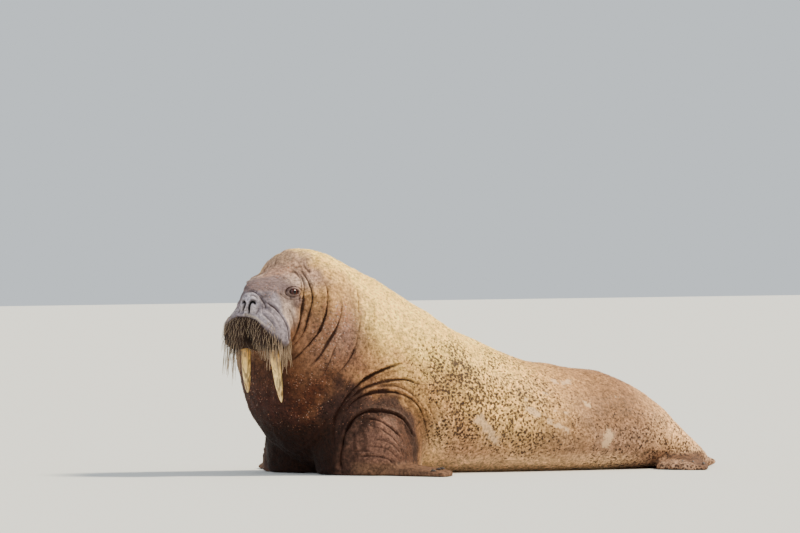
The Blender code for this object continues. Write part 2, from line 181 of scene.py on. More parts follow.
TURN_FROM, TURN_TO = 0.50, 0.86
EYES_X, EYES_Z = -0.415, 0.852
SIDES = (("left", 1.0), ("right", -1.0))
print("stations:", len(STATIONS))

# %% [markdown]
# ## Placing points
# Two frames are used. The straight body is symmetric about Y = 0, which makes left and right alike.
# The head has its own: how far ahead of the eyes, how far aside and how far above. The helpers take
# whole arrays of points, so that a skin of many thousand points is moved at once. Rising, falling
# and hump are soft steps, which say where a shape or a colour begins and ends.


# %% Soft steps
def smooth(share):
    share = np.clip(share, 0.0, 1.0)
    return share * share * (3.0 - 2.0 * share)


def rising(value, start, width):
    """From 0 at the start to 1 a width above it."""
    return smooth((value - start) / width)


def falling(value, start, width):
    """From 0 at the start to 1 a width below it."""
    return smooth((start - value) / width)


def hump(value, middle, width):
    """One at the middle, and less on both sides of it."""
    return np.exp(-(((value - middle) / width) ** 2))


print("half a width above the start a step is at", float(rising(1.5, 1.0, 1.0)))


# %% Helpers that place points
def rotated(points, angle):
    """Turned about the upright line through the neck, towards the animal's left."""
    dx, dy = points[..., 0] - TURN_CENTRE_X, points[..., 1]
    c, s = np.cos(angle), np.sin(angle)
    return np.stack((TURN_CENTRE_X + dx * c - dy * s, dx * s + dy * c, points[..., 2]), axis=-1)


def turn_at(points):
    return HEAD_TURN * rising(points @ TURN_AXIS, TURN_FROM, TURN_TO - TURN_FROM)


def on_body(points):
    return rotated(points, turn_at(points)) + CENTRE


def straightened(points):
    """Where points of the turned animal lie on the straight body."""
    found = points - CENTRE
    for _ in range(8):
        found = rotated(points - CENTRE, -turn_at(found))
    return found


def on_head(places, sign=1.0):
    """Points from their sizes ahead, aside and above, with sign 1 on the left."""
    places = np.asarray(places, float)
    straight = np.stack(
        (EYES_X - places[..., 0], -sign * places[..., 1], EYES_Z + places[..., 2]), axis=-1
    )
    return rotated(straight, HEAD_TURN) + CENTRE


def head_places(points):
    """The sizes ahead, aside and above of points, aside being positive on the left."""
    straight = rotated(points - CENTRE, -HEAD_TURN)
    return np.stack((EYES_X - straight[:, 0], -straight[:, 1], straight[:, 2] - EYES_Z), axis=-1)


def unit(vectors):
    vectors = np.asarray(vectors, float)
    return vectors / np.maximum(np.linalg.norm(vectors, axis=-1, keepdims=True), 1e-9)


def spline(rows, place):
    """The rows' numbers at fractional places, on a smooth curve through the rows."""
    last = len(rows) - 1
    i = np.clip(place.astype(int), 0, last - 1)
    t = (place - i)[:, None]
    p, q, r, s = (rows[np.clip(i + k, 0, last)] for k in (-1, 0, 1, 2))
    return q + 0.5 * t * (r - p + t * (2 * p - 5 * q + 4 * r - s + t * (3 * (q - r) + s - p)))


def body_points(place, around):
    """Points of the straight body, round from the back by the left side to the belly."""
    back_x, back_z, belly_x, belly_z, half_width, widest = spline(STATIONS, place).T
    height = ((1.0 + np.cos(around)) / 2.0) ** (np.log(widest) / math.log(0.5))
    x = belly_x + (back_x - belly_x) * height
    z = belly_z + (back_z - belly_z) * height
    return np.stack((x, -half_width * np.sin(around), np.maximum(z, 0.0)), axis=-1)


print("the nose lies at", on_head((0.19, 0.0, -0.06)).round(3))

# %% [markdown]
# ## Main forms
# The body is a loft, and the rest are egg shapes and flat hands laid over it: muzzle, nose, chin, the
# two whisker pads, the rolls of the shoulders, the forearms, flippers and tail. They pass into each
# other here, because the next step melts them into one skin.

# %% Loft, eggs and flippers
forms = []


def grid_faces(rows, count):
    """Quads between rows of points that close into rings, with a fan at each end."""
    near = np.arange(count)
    far = np.roll(near, -1)
    quads = [
        np.stack((k * count + near, k * count + far, (k + 1) * count + far, (k + 1) * count + near), 1)
        for k in range(rows - 1)
    ]
    faces = np.concatenate(quads).tolist()
    faces.append(list(range(count))[::-1])
    faces.append(list(range((rows - 1) * count, rows * count)))
    return faces


def add_rings(rings):
    """Takes a form given as an array of rings of points."""
    rings = np.asarray(rings)
    forms.append((rings.reshape(-1, 3), grid_faces(rings.shape[0], rings.shape[1])))


def egg(half, rings=44, sides=64):
    """Rings of points on an egg with the given half sizes, about the origin."""
    fall = np.linspace(0.02, math.pi - 0.02, rings)
    turn = np.linspace(0.0, 2.0 * math.pi, sides, endpoint=False)
    fall, turn = np.meshgrid(fall, turn, indexing="ij")
    shape = np.stack((np.sin(fall) * np.cos(turn), np.sin(fall) * np.sin(turn), np.cos(fall)), -1)
    return shape * np.asarray(half)


BODY_SIDES, RINGS_A_STATION = 120, 6
places = np.linspace(0.0, len(STATIONS) - 1.0, RINGS_A_STATION * (len(STATIONS) - 1) + 1)
arounds = np.linspace(0.0, 2.0 * math.pi, BODY_SIDES, endpoint=False)
ring_place, ring_around = (g.ravel() for g in np.meshgrid(places, arounds, indexing="ij"))
body = on_body(body_points(ring_place, ring_around)).reshape(len(places), BODY_SIDES, 3)
add_rings(body)
print("body loft:", len(places), "rings")

# %% Head forms
PAD_PLACE, PAD_HALF = np.array((0.112, 0.060, -0.160)), np.array((0.098, 0.110, 0.102))
PAD_SLOPE = 0.26
MUZZLE = ((0.088, 0.0, -0.112), (0.088, 0.128, 0.088))
NOSE = ((0.146, 0.0, -0.064), (0.057, 0.056, 0.056))
JAW = ((0.062, 0.0, -0.228), (0.100, 0.078, 0.052))


def plumper(points, half, power=2.6):
    """Fills an egg out towards the corners of its box."""
    way = np.abs(unit(points / np.asarray(half)))
    return points * ((way**power).sum(axis=-1, keepdims=True) ** (-1.0 / power))


def pad_shape(points):
    """A pad's egg, with its lower half filled out down to a blunt end."""
    way = unit(points / PAD_HALF)
    round_share, high = np.hypot(way[..., :1], way[..., 1:2]), way[..., 2:]
    power = 2.0 + 0.7 * smooth(0.3 - high)
    return points * ((round_share**power + np.abs(high) ** power) ** (-1.0 / power))


def pad_places(points):
    """Places on the head for points of a pad, whose outer end hangs lower."""
    places = PAD_PLACE + points
    places[..., 2] -= PAD_SLOPE * points[..., 1]
    return places


for middle, half in (MUZZLE, JAW):
    add_rings(on_head(egg(half) + np.array(middle)))
add_rings(on_head(plumper(egg(NOSE[1]), NOSE[1]) + np.array(NOSE[0])))
for side, sign in SIDES:
    pad = pad_places(pad_shape(egg(PAD_HALF)))
    pad[..., 1] = np.maximum(pad[..., 1], -0.004)
    add_rings(on_head(pad, sign))
print("head forms:", len(forms) - 1)

# %% Shoulders, forearms, flippers and tail
SHOULDER = ((0.055, 0.212, 0.125), (0.262, 0.226, 0.425))
FOREARM = ((0.010, 0.300, 0.025), (0.170, 0.222, 0.325))
TAIL = ((2.010, 0.0, 0.020), (0.105, 0.055, 0.026))
Flipper = namedtuple("Flipper", "x aside towards length half_width thick toes toe_slope")
FOREFLIPPER = Flipper(0.015, 0.330, math.radians(-68.0), 0.46, 0.125, 0.062, 5, 0.16)
HIND_FLIPPER = Flipper(1.885, 0.080, math.radians(-124.0), 0.52, 0.125, 0.072, 5, -0.10)
FLIPPER_EDGE = 0.010
FLIPPER_ROWS, FLIPPER_ACROSS = 44, 76


def on_side(points, sign):
    """Points of the straight body's side, laid on the floor where they would pass it."""
    return np.stack(
        (points[..., 0], -sign * points[..., 1], np.maximum(points[..., 2], 0.0)), -1
    ) + CENTRE


def flipper_axes(form, sign):
    """The way the toes point on the floor, and the way across them."""
    ahead = np.array((math.cos(form.towards), sign * math.sin(form.towards), 0.0))
    return ahead, np.array((-ahead[1], ahead[0], 0.0)) * sign


def flipper_points(form, sign, t, u):
    """Points on top of a flipper, at a share t along it and from -1 to 1 across it."""
    ahead, across = flipper_axes(form, sign)
    spread = form.half_width * (0.62 + 0.38 * smooth(t / 0.7))
    toe = np.abs(np.sin(math.pi * form.toes * (u + 1.0) / 2.0))
    reach = form.length * (1.0 - form.toe_slope * u - 0.10 * u * u) - 0.035 * (1.0 - toe) * t
    crown = np.sqrt(np.maximum(0.0, 1.0 - 0.93 * u * u))
    high = FLIPPER_EDGE + form.thick * (1.0 - 0.82 * t) * crown + 0.007 * toe * smooth(t * 2.0)
    flat = np.outer(reach * t, ahead) + np.outer(u * spread, across)
    root = np.array((form.x, -sign * form.aside, 0.0)) + CENTRE
    return root + flat + np.outer(high, (0.0, 0.0, 1.0))


for side, sign in SIDES:
    for middle, half in (SHOULDER, FOREARM):
        add_rings(on_side(egg(half) + np.array(middle), sign))
    for form in (FOREFLIPPER, HIND_FLIPPER):
        rows = []
        across_shares = np.linspace(-1.0, 1.0, FLIPPER_ACROSS)
        for t in np.linspace(0.0, 1.0, FLIPPER_ROWS):
            top = flipper_points(form, sign, np.full(FLIPPER_ACROSS, t), across_shares)
            rows.append(np.concatenate((top, top[::-1] * (1.0, 1.0, 0.0))))
        add_rings(rows)
add_rings(on_side(egg(TAIL[1]) + np.array(TAIL[0]), 1.0))
print("forms in all:", len(forms))

# %% [markdown]
# ## One skin
# On the real animal the hide runs unbroken over all these forms. A voxel remesh melts overlapping
# closed shapes into one even skin, which a Boolean would leave with hard seams and long slivers.

# %% Melt the forms into one skin
VOXEL = 0.009


def mesh_of(name, points, faces):
    mesh = bpy.data.meshes.new(name)
    mesh.from_pydata(np.asarray(points).tolist(), [], faces)
    mesh.validate()
    return mesh


def object_of(name, mesh):
    made = bpy.data.objects.new(name, mesh)
    bpy.context.scene.collection.objects.link(made)
    return made


all_points, all_faces, offset = [], [], 0
for points, faces in forms:
    all_points.append(points)
    all_faces += [[i + offset for i in face] for face in faces]
    offset += len(points)
raw = mesh_of("raw", np.concatenate(all_points), all_faces)
tidy = bmesh.new()
tidy.from_mesh(raw)
bmesh.ops.triangulate(tidy, faces=[f for f in tidy.faces if len(f.verts) > 4])
bmesh.ops.recalc_face_normals(tidy, faces=tidy.faces)
tidy.to_mesh(raw)
tidy.free()
melting = object_of("melting", raw)
remesh = melting.modifiers.new("melt", "REMESH")
remesh.mode = "VOXEL"
remesh.voxel_size = VOXEL
graph = bpy.context.evaluated_depsgraph_get()
skin_mesh = bpy.data.meshes.new_from_object(melting.evaluated_get(graph))
bpy.data.objects.remove(melting)
print("melted skin:", len(skin_mesh.vertices), "points")

# %% [markdown]
# ## Reading and relaxing the skin
# Sculpting in code needs the points, their normals and their neighbours as arrays. Relaxing moves
# each point towards the mean of its neighbours, which rounds the creases where two forms met.


# %% Helpers for a mesh's points
def points_of(mesh):
    flat = np.empty(len(mesh.vertices) * 3)
    mesh.vertices.foreach_get("co", flat)
    return flat.reshape(-1, 3)


def set_points(mesh, points):
    mesh.vertices.foreach_set("co", np.ascontiguousarray(points).ravel())
    mesh.update()


def normals_of(mesh):
    flat = np.empty(len(mesh.vertices) * 3, np.float32)
    mesh.vertex_normals.foreach_get("vector", flat)
    return flat.reshape(-1, 3).astype(float)


def edges_of(mesh):
    flat = np.empty(len(mesh.edges) * 2, np.int32)
    mesh.edges.foreach_get("vertices", flat)
    return flat.reshape(-1, 2)


def neighbour_mean(values, edges):
    """For each point, the mean of its neighbours' values."""
    a, b = edges.T
    count = np.bincount(a, minlength=len(values)) + np.bincount(b, minlength=len(values))
    total = [
        np.bincount(a, values[b, k], len(values)) + np.bincount(b, values[a, k], len(values))
        for k in range(values.shape[1])
    ]
    return np.stack(total, -1) / np.maximum(count, 1)[:, None]


def relax(points, edges, steps, share):
    """Moves points towards their neighbours' mean; share may differ from point to point."""
    share = np.broadcast_to(np.asarray(share, float).reshape(-1, 1), (len(points), 1))
    for _ in range(steps):
        points = points + (neighbour_mean(points, edges) - points) * share
    return points


def refine(mesh, chosen):
    """Splits each face that has a chosen point into four."""
    bm = bmesh.new()
    bm.from_mesh(mesh)
    bm.verts.ensure_lookup_table()
    faces = [f for f in bm.faces if any(chosen[v.index] for v in f.verts)]
    edges = list({e for f in faces for e in f.edges})
    bmesh.ops.subdivide_edges(bm, edges=edges, cuts=1, use_grid_fill=True)
    bmesh.ops.triangulate(bm, faces=[f for f in bm.faces if len(f.verts) > 4])
    bm.to_mesh(mesh)
    bm.free()


print("points to work on, by their three sizes:", points_of(skin_mesh).shape)

# %% Relax the melted skin
points = points_of(skin_mesh)
place = head_places(points)
in_face = rising(place[:, 0], -0.02, 0.08) * falling(np.abs(place[:, 1]), 0.20, 0.03)
in_face = in_face * rising(place[:, 2], -0.36, 0.05)
RELAX_STEPS, RELAX_SHARE, FACE_SPARED = 10, 0.5, 0.32
points = relax(points, edges_of(skin_mesh), RELAX_STEPS, RELAX_SHARE - FACE_SPARED * in_face)
set_points(skin_mesh, points)
print("points in the face:", int((in_face > 0.5).sum()))

# %% [markdown]
# ## The far side of the turned head
# A head that turns to one side pulls the skin of the other side tight, so that side is slimmer above
# the brow and behind it, and fuller at the far eye. Here the outline is moved in, or out where the
# amount is negative, by an amount for each height of the camera's view. It fades out towards the
# middle of the head. Moving whole layers at once keeps the skin from crossing itself.

# %% Slim the far side of the head
EDGE_ROWS = (246, 252, 258, 264, 270, 273, 276, 279, 285, 291, 300, 312, 321)
EDGE_COLUMNS = (292, 280, 268, 261, 254, 252, 249, 247, 244, 241, 237, 232, 226)
SLIM_ROWS = (246, 252, 258, 264, 267, 270, 273, 276, 279, 283, 287, 291, 300, 316, 322)
SLIM_PIXELS = (0.0, 2.0, 3.2, 3.0, 2.8, 2.2, 2.2, -1.6, -6.6, -8.2, -5.0, -1.2, 1.3, 1.2, 0.0)
NAPE_ROWS = (262, 268, 274, 280, 286, 292, 300, 310, 325)
NAPE_PIXELS = (0.0, 2.6, 6.0, 10.0, 10.0, 8.0, 6.5, 3.5, 0.0)
SLIM_FADE, SLIM_UP_TO = 38.0, 330.0


def pixels_of(points):
    """Where the camera sees these points: columns and rows of its view."""
    away = (points - CENTRE) * PIXELS_A_METRE
    return CENTRE_PIXEL[0] + away @ view_right, CENTRE_PIXEL[1] - away @ view_up


column, row = pixels_of(points)
behind_face = falling(head_places(points)[:, 0], -0.03, 0.07)
inward = np.interp(row, SLIM_ROWS, SLIM_PIXELS)
inward = (inward + behind_face * np.interp(row, NAPE_ROWS, NAPE_PIXELS)) / PIXELS_A_METRE
inward = inward * (1.0 - smooth((column - np.interp(row, EDGE_ROWS, EDGE_COLUMNS)) / SLIM_FADE))
points = points + np.outer(inward * (column < SLIM_UP_TO), view_right)
set_points(skin_mesh, points)
print("head slimmed by up to", round(float(inward.max()) * 1000), "mm")

# %% [markdown]
# ## Folds of the hide
# Walrus hide is thick and hangs in rolls where the neck and the arms bend. Each fold is a line on
# the skin with a narrow dark groove, and a soft roll on both sides of it. The lines are read off as
# places in the camera's view and cast on the skin, then mirrored to the other side of the body.

# %% Helpers for lines on the skin
skin_tree = None


def build_tree():
    """A search tree of the skin as it is now."""
    global skin_tree
    faces = [tuple(p.vertices) for p in skin_mesh.polygons]
    skin_tree = BVHTree.FromPolygons(points_of(skin_mesh).tolist(), faces)


def cast(pixels):
    """Points of the skin that the camera sees at these pixels."""
    found = []
    for pixel in pixels:
        start = in_picture_plane(pixel) + view_back * 6.0
        hit = skin_tree.ray_cast(Vector(start), Vector(-view_back))[0]
        if hit is not None:
            found.append(np.array(hit))
    return np.array(found)


def on_skin(points):
    """The nearest points of the skin."""
    return np.array([np.array(skin_tree.find_nearest(Vector(p))[0]) for p in points])


def resampled(points, spacing=0.009):
    """A smooth curve through the points, with about this much between its own."""
    points = np.asarray(points)
    length = np.linalg.norm(np.diff(points, axis=0), axis=1).sum()
    count = max(6, int(length / spacing))
    return spline(points, np.linspace(0.0, len(points) - 1.0 - 1e-6, count))


def mirrored(points):
    """The same line on the other side of the straight body."""
    return on_body(straightened(points) * (1.0, -1.0, 1.0))


def distance_along(points, curve):
    """Distance of each point from a curve, and its share of the way along it."""
    low, high = curve.min(axis=0) - 0.08, curve.max(axis=0) + 0.08
    near = np.flatnonzero(((points > low) & (points < high)).all(axis=1))
    best = np.full(len(near), 1e9)
    along = np.zeros(len(near))
    for k, (a, b) in enumerate(zip(curve[:-1], curve[1:])):
        step = b - a
        t = np.clip(((points[near] - a) @ step) / max(step @ step, 1e-12), 0.0, 1.0)
        gap = np.linalg.norm(points[near] - a - t[:, None] * step, axis=1)
        closer = gap < best
        best[closer] = gap[closer]
        along[closer] = (k + t[closer]) / (len(curve) - 1)
    return near, best, along


Fold = namedtuple("Fold", "pixels depth width roll")
build_tree()
print("skin tree built")

# %% The lines of the folds, as the camera sees them
NECK_FOLDS = (
    Fold(((296.5, 269), (303.4, 281.3), (304.4, 293.6), (302.6, 309), (299.6, 324), (295, 336.4),
          (287.5, 348.5)), 0.011, 0.0034, 0.0030),
    Fold(((298.5, 268), (305.7, 276.7), (311.8, 290.5), (312.6, 301.2), (308.8, 316.5), (304.2, 331.8),
          (296.5, 342.5), (289, 349.4)), 0.011, 0.0034, 0.0034),
    Fold(((302.6, 262.5), (306, 268), (311, 273)), 0.0022, 0.0034, 0.0012),
    Fold(((322.5, 276.7), (327.1, 289), (327.9, 301.2), (325.6, 315), (319.5, 330.3), (310.3, 342.5),
          (303, 350.5), (296.5, 356.3), (289.6, 361)), 0.009, 0.0034, 0.0030),
    Fold(((342.4, 297), (341, 313.5), (335.5, 330.3), (328.6, 341), (319.5, 356.3), (307, 368.5)),
          0.007, 0.0034, 0.0026),
    Fold(((337, 343), (330, 361), (324, 374)), 0.0042, 0.0034, 0.0014),
    Fold(((354.7, 278.3), (357.7, 293.6), (357.9, 309), (359.5, 323), (358, 335), (353, 353),
          (344, 367), (333, 376)), 0.0055, 0.0034, 0.0018),
    Fold(((291.9, 268.5), (297, 273), (301, 280), (301, 292), (299, 306)), 0.0040, 0.0030, 0.0010),
    Fold(((372, 296), (374, 318), (370, 342)), 0.0030, 0.0036, 0.0012),
)
ARM_FOLDS = (
    Fold(((412, 361), (396, 365), (380, 371), (364, 380), (352, 391), (342, 404), (335, 418),
          (333, 436), (335, 452)), 0.013, 0.0040, 0.0050),
    Fold(((424, 386), (413, 382), (403.6, 379.3), (386, 381), (367, 387), (354.7, 394.6),
          (342.4, 406.8), (335, 424)), 0.0070, 0.0034, 0.0030),
    Fold(((425, 424), (421, 411), (414, 401), (402, 394), (386, 391), (370, 393), (354, 401),
          (345, 412)), 0.0110, 0.0036, 0.0040),
    Fold(((430, 436), (427, 416), (416, 398), (402, 388), (388, 385), (374, 387)),
          0.0035, 0.0034, 0.0020),
    Fold(((343, 452), (344, 438), (348, 427), (355, 417), (367, 411), (380, 410), (393, 413),
          (403, 419), (410, 431), (413, 444), (414, 466)), 0.018, 0.0050, 0.0060),
    Fold(((356, 418), (370, 418), (383, 422), (395, 431), (403, 444), (407, 466)),
          0.0085, 0.0036, 0.0032),
    Fold(((350, 458), (367, 455), (381, 456), (391, 460), (398, 467)), 0.0050, 0.0034, 0.0022),
    Fold(((366, 446), (380, 446), (391, 451), (401, 462)), 0.0030, 0.0032, 0.0014),
    Fold(((366, 424), (380, 428), (391, 436), (399, 447), (403, 459)), 0.0034, 0.0032, 0.0016),
    Fold(((372, 438), (385, 440), (394, 446), (400, 455)), 0.0024, 0.0030, 0.0012),
    Fold(((425, 400), (433, 416), (438, 434), (441, 452)), 0.0034, 0.0036, 0.0014),
    Fold(((418, 404), (424, 420), (428, 438), (430, 456)), 0.0044, 0.0036, 0.0018),
    Fold(((431, 396), (441, 414), (447, 432), (449, 446)), 0.0022, 0.0036, 0.0010),
    Fold(((352, 451), (362, 450), (374, 451)), 0.0026, 0.0032, 0.0012),
    Fold(((345, 434), (342, 446), (340, 458), (341, 470)), 0.020, 0.0080, 0.0),
)
CHEST_FOLDS = (
    Fold(((256, 401), (270, 404), (285, 405), (300, 403)), 0.0022, 0.0040, 0.0010),
    Fold(((290, 456), (306, 444), (320, 430), (330, 414)), 0.0035, 0.0050, 0.0025),
)
MUZZLE_FOLDS = (
    Fold(((264, 301.5), (271, 305), (277.3, 310), (284.4, 319.8), (288.4, 330), (289.3, 339),
          (286.5, 348)), 0.009, 0.0038, 0.0045),
    Fold(((287, 306), (292, 314), (294.5, 325), (295, 335)), 0.0018, 0.0040, 0.002),
    Fold(((238.5, 303), (243, 297), (248, 293.5), (254, 291.8), (259, 295.5), (263, 300.5), (266, 306),
          (266, 311)), 0.0036, 0.0032, 0.0026),
    Fold(((262, 313), (266, 316), (272, 322), (277, 329)), 0.0022, 0.0036, 0.0015),
    Fold(((257.6, 301), (259.4, 306), (258.8, 311), (256.0, 314.5)), 0.0034, 0.0026, 0.0018),
    Fold(((262.0, 304), (263.2, 309), (262.4, 314)), 0.0018, 0.0026, 0.0010),
    Fold(((250.0, 296.5), (254.0, 295.6), (258.0, 299.0)), 0.0030, 0.0026, 0.0014),
    Fold(((268, 309), (274, 315), (279, 323), (282, 332)), 0.0014, 0.0036, 0.0015),
)
fold_lines = []
for fold in (*NECK_FOLDS, *ARM_FOLDS, *CHEST_FOLDS, *MUZZLE_FOLDS):
    seen = cast(fold.pixels)
    if len(seen) < 3:
        print("a fold lies off the skin:", fold.pixels[0])
        continue
    line = resampled(seen)
    fold_lines.append((line, fold))
    if fold in MUZZLE_FOLDS:
        fold_lines.append((on_skin(on_head(head_places(line), -1.0)), fold))
    elif fold not in CHEST_FOLDS:
        fold_lines.append((on_skin(mirrored(line)), fold))
print("folds, with their mirrored twins:", len(fold_lines))

# %% [markdown]
# ## Finer skin where it is needed
# A fold a few millimetres wide needs points closer than the melted skin has. The skin is split where
# the folds run and on the head, again beside the folds and on the face, and once more at the eyes and
# nostrils, so that the points go where they are seen. Each step has its reach from the folds, the
# place ahead of which the face counts, and its reach round the eyes.

# %% Split the skin in three steps
EYE_PLACE = np.array((0.0, 0.120, -0.004))
NOSTRIL_PLACE = np.array((0.198, 0.024, -0.080))
REFINE_STEPS = ((0.030, -0.07, 0.10), (0.013, -0.005, 0.075), (0.0, 9.0, 0.052))


def gap_to_folds(points):
    """How far each point lies from the nearest fold."""
    nearest = np.full(len(points), 1.0)
    for line, fold in fold_lines:
        near, gap, along = distance_along(points, line)
        nearest[near] = np.minimum(nearest[near], gap)
    return nearest


for step, (reach, ahead, eye_reach) in enumerate(REFINE_STEPS):
    points = points_of(skin_mesh)
    place = head_places(points)
    either_side = np.abs(place * (0.0, 1.0, 0.0)) + place * (1.0, 0.0, 1.0)
    at_eye = np.linalg.norm(either_side - EYE_PLACE, axis=1) < eye_reach
    at_nostril = np.linalg.norm(either_side - NOSTRIL_PLACE, axis=1) < 0.5 * eye_reach
    in_face = (place[:, 0] > ahead) & (np.abs(place[:, 1]) < 0.21)
    in_face &= np.abs(place[:, 2] + 0.13) < 0.24
    chosen = (gap_to_folds(points) < reach) | at_eye | at_nostril | in_face
    refine(skin_mesh, chosen)
    settled = relax(points_of(skin_mesh), edges_of(skin_mesh), 1, 0.3)
    set_points(skin_mesh, settled)
    print("step", step + 1, "gives", len(settled), "points")
points = points_of(skin_mesh)

# %% Press the folds into the skin
ROLL_AWAY, ROLL_WIDE, FOLD_FADE = 0.012, 0.009, 0.20
normals = normals_of(skin_mesh)
height = np.zeros(len(points))
groove = np.zeros(len(points))


def strengthen(mask, near, values):
    """Raises a mask at these points to the values, where it is lower."""
    mask[near] = np.maximum(mask[near], values)


def press(curve, fold):
    """Adds a groove with a roll on each side along a curve, fading out at its ends."""
    near, gap, along = distance_along(points, curve)
    ends = smooth(along / FOLD_FADE) * falling(along, 1.0, FOLD_FADE)
    narrow = np.exp(-1.1 * gap / fold.width)
    rolled = hump(gap, ROLL_AWAY, ROLL_WIDE)
    height[near] += ends * (fold.roll * rolled - fold.depth * narrow)
    strong = min(1.0, 0.25 + fold.depth / 0.008)
    line_shade = hump(gap, 0.0, 0.85 * fold.width) + 0.18 * hump(gap, 0.0, 3.0 * fold.width)
    strengthen(groove, near, strong * ends * np.minimum(line_shade, 1.0))


for line, fold in fold_lines:
    press(line, fold)
points = points + normals * height[:, None]
set_points(skin_mesh, points)
print("deepest groove", round(float(-height.min()) * 1000, 1), "mm")

# %% [markdown]
# ## Swells, hollows and fine wrinkles
# Fat under the hide makes it swell and sag over a hand's breadth, and the hide itself is wrinkled
# and knobbly at a finger's width. Sums of sine waves in random directions give both, because they
# can be worked out for every point at once and come out the same each time.


# %% Swells and wrinkles
def ripple(points, size, seed, waves=16):
    """Even noise with features of about this size, mostly between -1 and 1."""
    rng = np.random.default_rng(seed)
    ways = unit(rng.normal(size=(waves, 3)))
    pace = 2.0 * math.pi / size * rng.uniform(0.7, 1.4, waves)
    phase = rng.uniform(0.0, 2.0 * math.pi, waves)
    total = np.zeros(len(points))
    for way, speed, start in zip(ways, pace, phase):
        total += np.sin(points @ (way * speed) + start)
    return total / math.sqrt(waves)


straight = straightened(points)
place = head_places(points)
on_face = rising(place[:, 0], -0.03, 0.10) * rising(place[:, 2], -0.34, 0.04)
standing = smooth(straight[:, 2] / 0.05)
on_neck = falling(straight[:, 0], 0.25, 0.35) * (1.0 - on_face)
normals = normals_of(skin_mesh)
swell = 0.0050 * ripple(straight, 0.42, 11) + 0.0022 * ripple(straight, 0.16, 12)
upright = straight * (1.0, 0.6, 0.45)
wrinkle = 0.0011 * ripple(upright, 0.045, 13) + 0.0007 * ripple(upright, 0.026, 14)
wrinkle = wrinkle * (0.35 + 0.9 * on_neck) * (1.0 - 0.7 * on_face)
height = standing * (swell * (1.0 - on_face) + wrinkle)
points = points + normals * height[:, None]
set_points(skin_mesh, points)
print("swells of", round(float(np.abs(swell).max()) * 1000, 1), "mm")

# %% [markdown]
# ## The rim of the whisker pads
# Under the nose a pale rim of skin runs across and down both cheeks. Above it the muzzle is smooth,
# and below it the pads turn under and carry the whiskers. The rim is kept as heights against the
# angle round the muzzle, so that colours and whiskers can ask which side of it they are on.

# %% Rim of the pads
RIM_TURNS = (0.0, 17.0, 34.0, 44.0, 49.0, 54.0, 63.0, 90.0)
LEFT_RIM = (-0.106, -0.119, -0.161, -0.190, -0.205, -0.221, -0.232, -0.235)
RIGHT_RIM = (-0.106, -0.106, -0.130, -0.152, -0.167, -0.187, -0.218, -0.235)
RIM_CENTRE, RIM_RISE, RIM_SINK = 0.02, 0.0036, 0.0030
NOTCH_DEPTH = 0.022


def below_rim(place):
    """How far a place on the head lies below the rim of the pads; negative above it."""
    turned = np.degrees(np.arctan2(np.abs(place[..., 1]), place[..., 0] - RIM_CENTRE))
    left, right = (np.interp(turned, RIM_TURNS, rim) for rim in (LEFT_RIM, RIGHT_RIM))
    return left + (right - left) * smooth(0.5 - place[..., 1] / 0.03) - place[..., 2]


place = head_places(points)
normals = normals_of(skin_mesh)
below = below_rim(place)
ahead_share = rising(place[:, 0], 0.015, 0.05) * rising(place[:, 2], -0.33, 0.04)
fades = falling(np.abs(place[:, 1]), 0.150, 0.05)
notch = hump(place[:, 1], 0.0, 0.004 + 0.010 * rising(below, 0.04, 0.08))
notch = notch * rising(below, 0.02, 0.05)
height = RIM_RISE * hump(below, -0.002, 0.006) - RIM_SINK * hump(below, -0.016, 0.006)
height *= fades
height += 0.0012 * smooth(below / 0.01) * ripple(place, 0.012, 15)
height -= NOTCH_DEPTH * notch
# Painted shade in the notch between the pads.
notch_shade = notch * rising(below, 0.05, 0.04) * ahead_share
points = points + normals * (height * ahead_share)[:, None]
set_points(skin_mesh, points)
print("points below the rim:", int(((below > 0) & (ahead_share > 0.5)).sum()))

# %% [markdown]
# ## Eyes, lids and sockets
# A walrus eye is small, and looks out between thick lids with rings of wrinkles round them. Each
# point near an eye is set in the eye's own plane: inside the almond it sinks behind the eyeball,
# on its edge it rises over the ball as a lid, and further out it passes back into the cheek. The
# table of creases says how far out each lies, how wide it is, and how deep above and below the eye.

# %% Lids round each eye
EYE_RADIUS = 0.0245
EYE_LOOK = unit((0.42, 0.90, 0.10))
EYE_UP = unit(np.array((0.0, 0.0, 1.0)) - EYE_LOOK * EYE_LOOK[2])
EYE_ALONG = np.cross(EYE_UP, EYE_LOOK)
OPEN_WIDE, OPEN_UPPER, OPEN_LOWER = 0.0226, 0.0136, 0.0108
LID_RISE, LID_REACH, LID_CREASE = 0.0042, 3.8, 0.0046
LID_CREASES = (
    (1.85, 0.20, 1.0, 0.0),
    (2.05, 0.24, 0.0, 0.8),
    (3.35, 0.30, 0.0, 0.7),
    (2.75, 0.22, 0.35, 0.35),
)
BALL_SUNK, LID_OFF_BALL, LID_LEAST = 0.007, 0.0010, 0.014

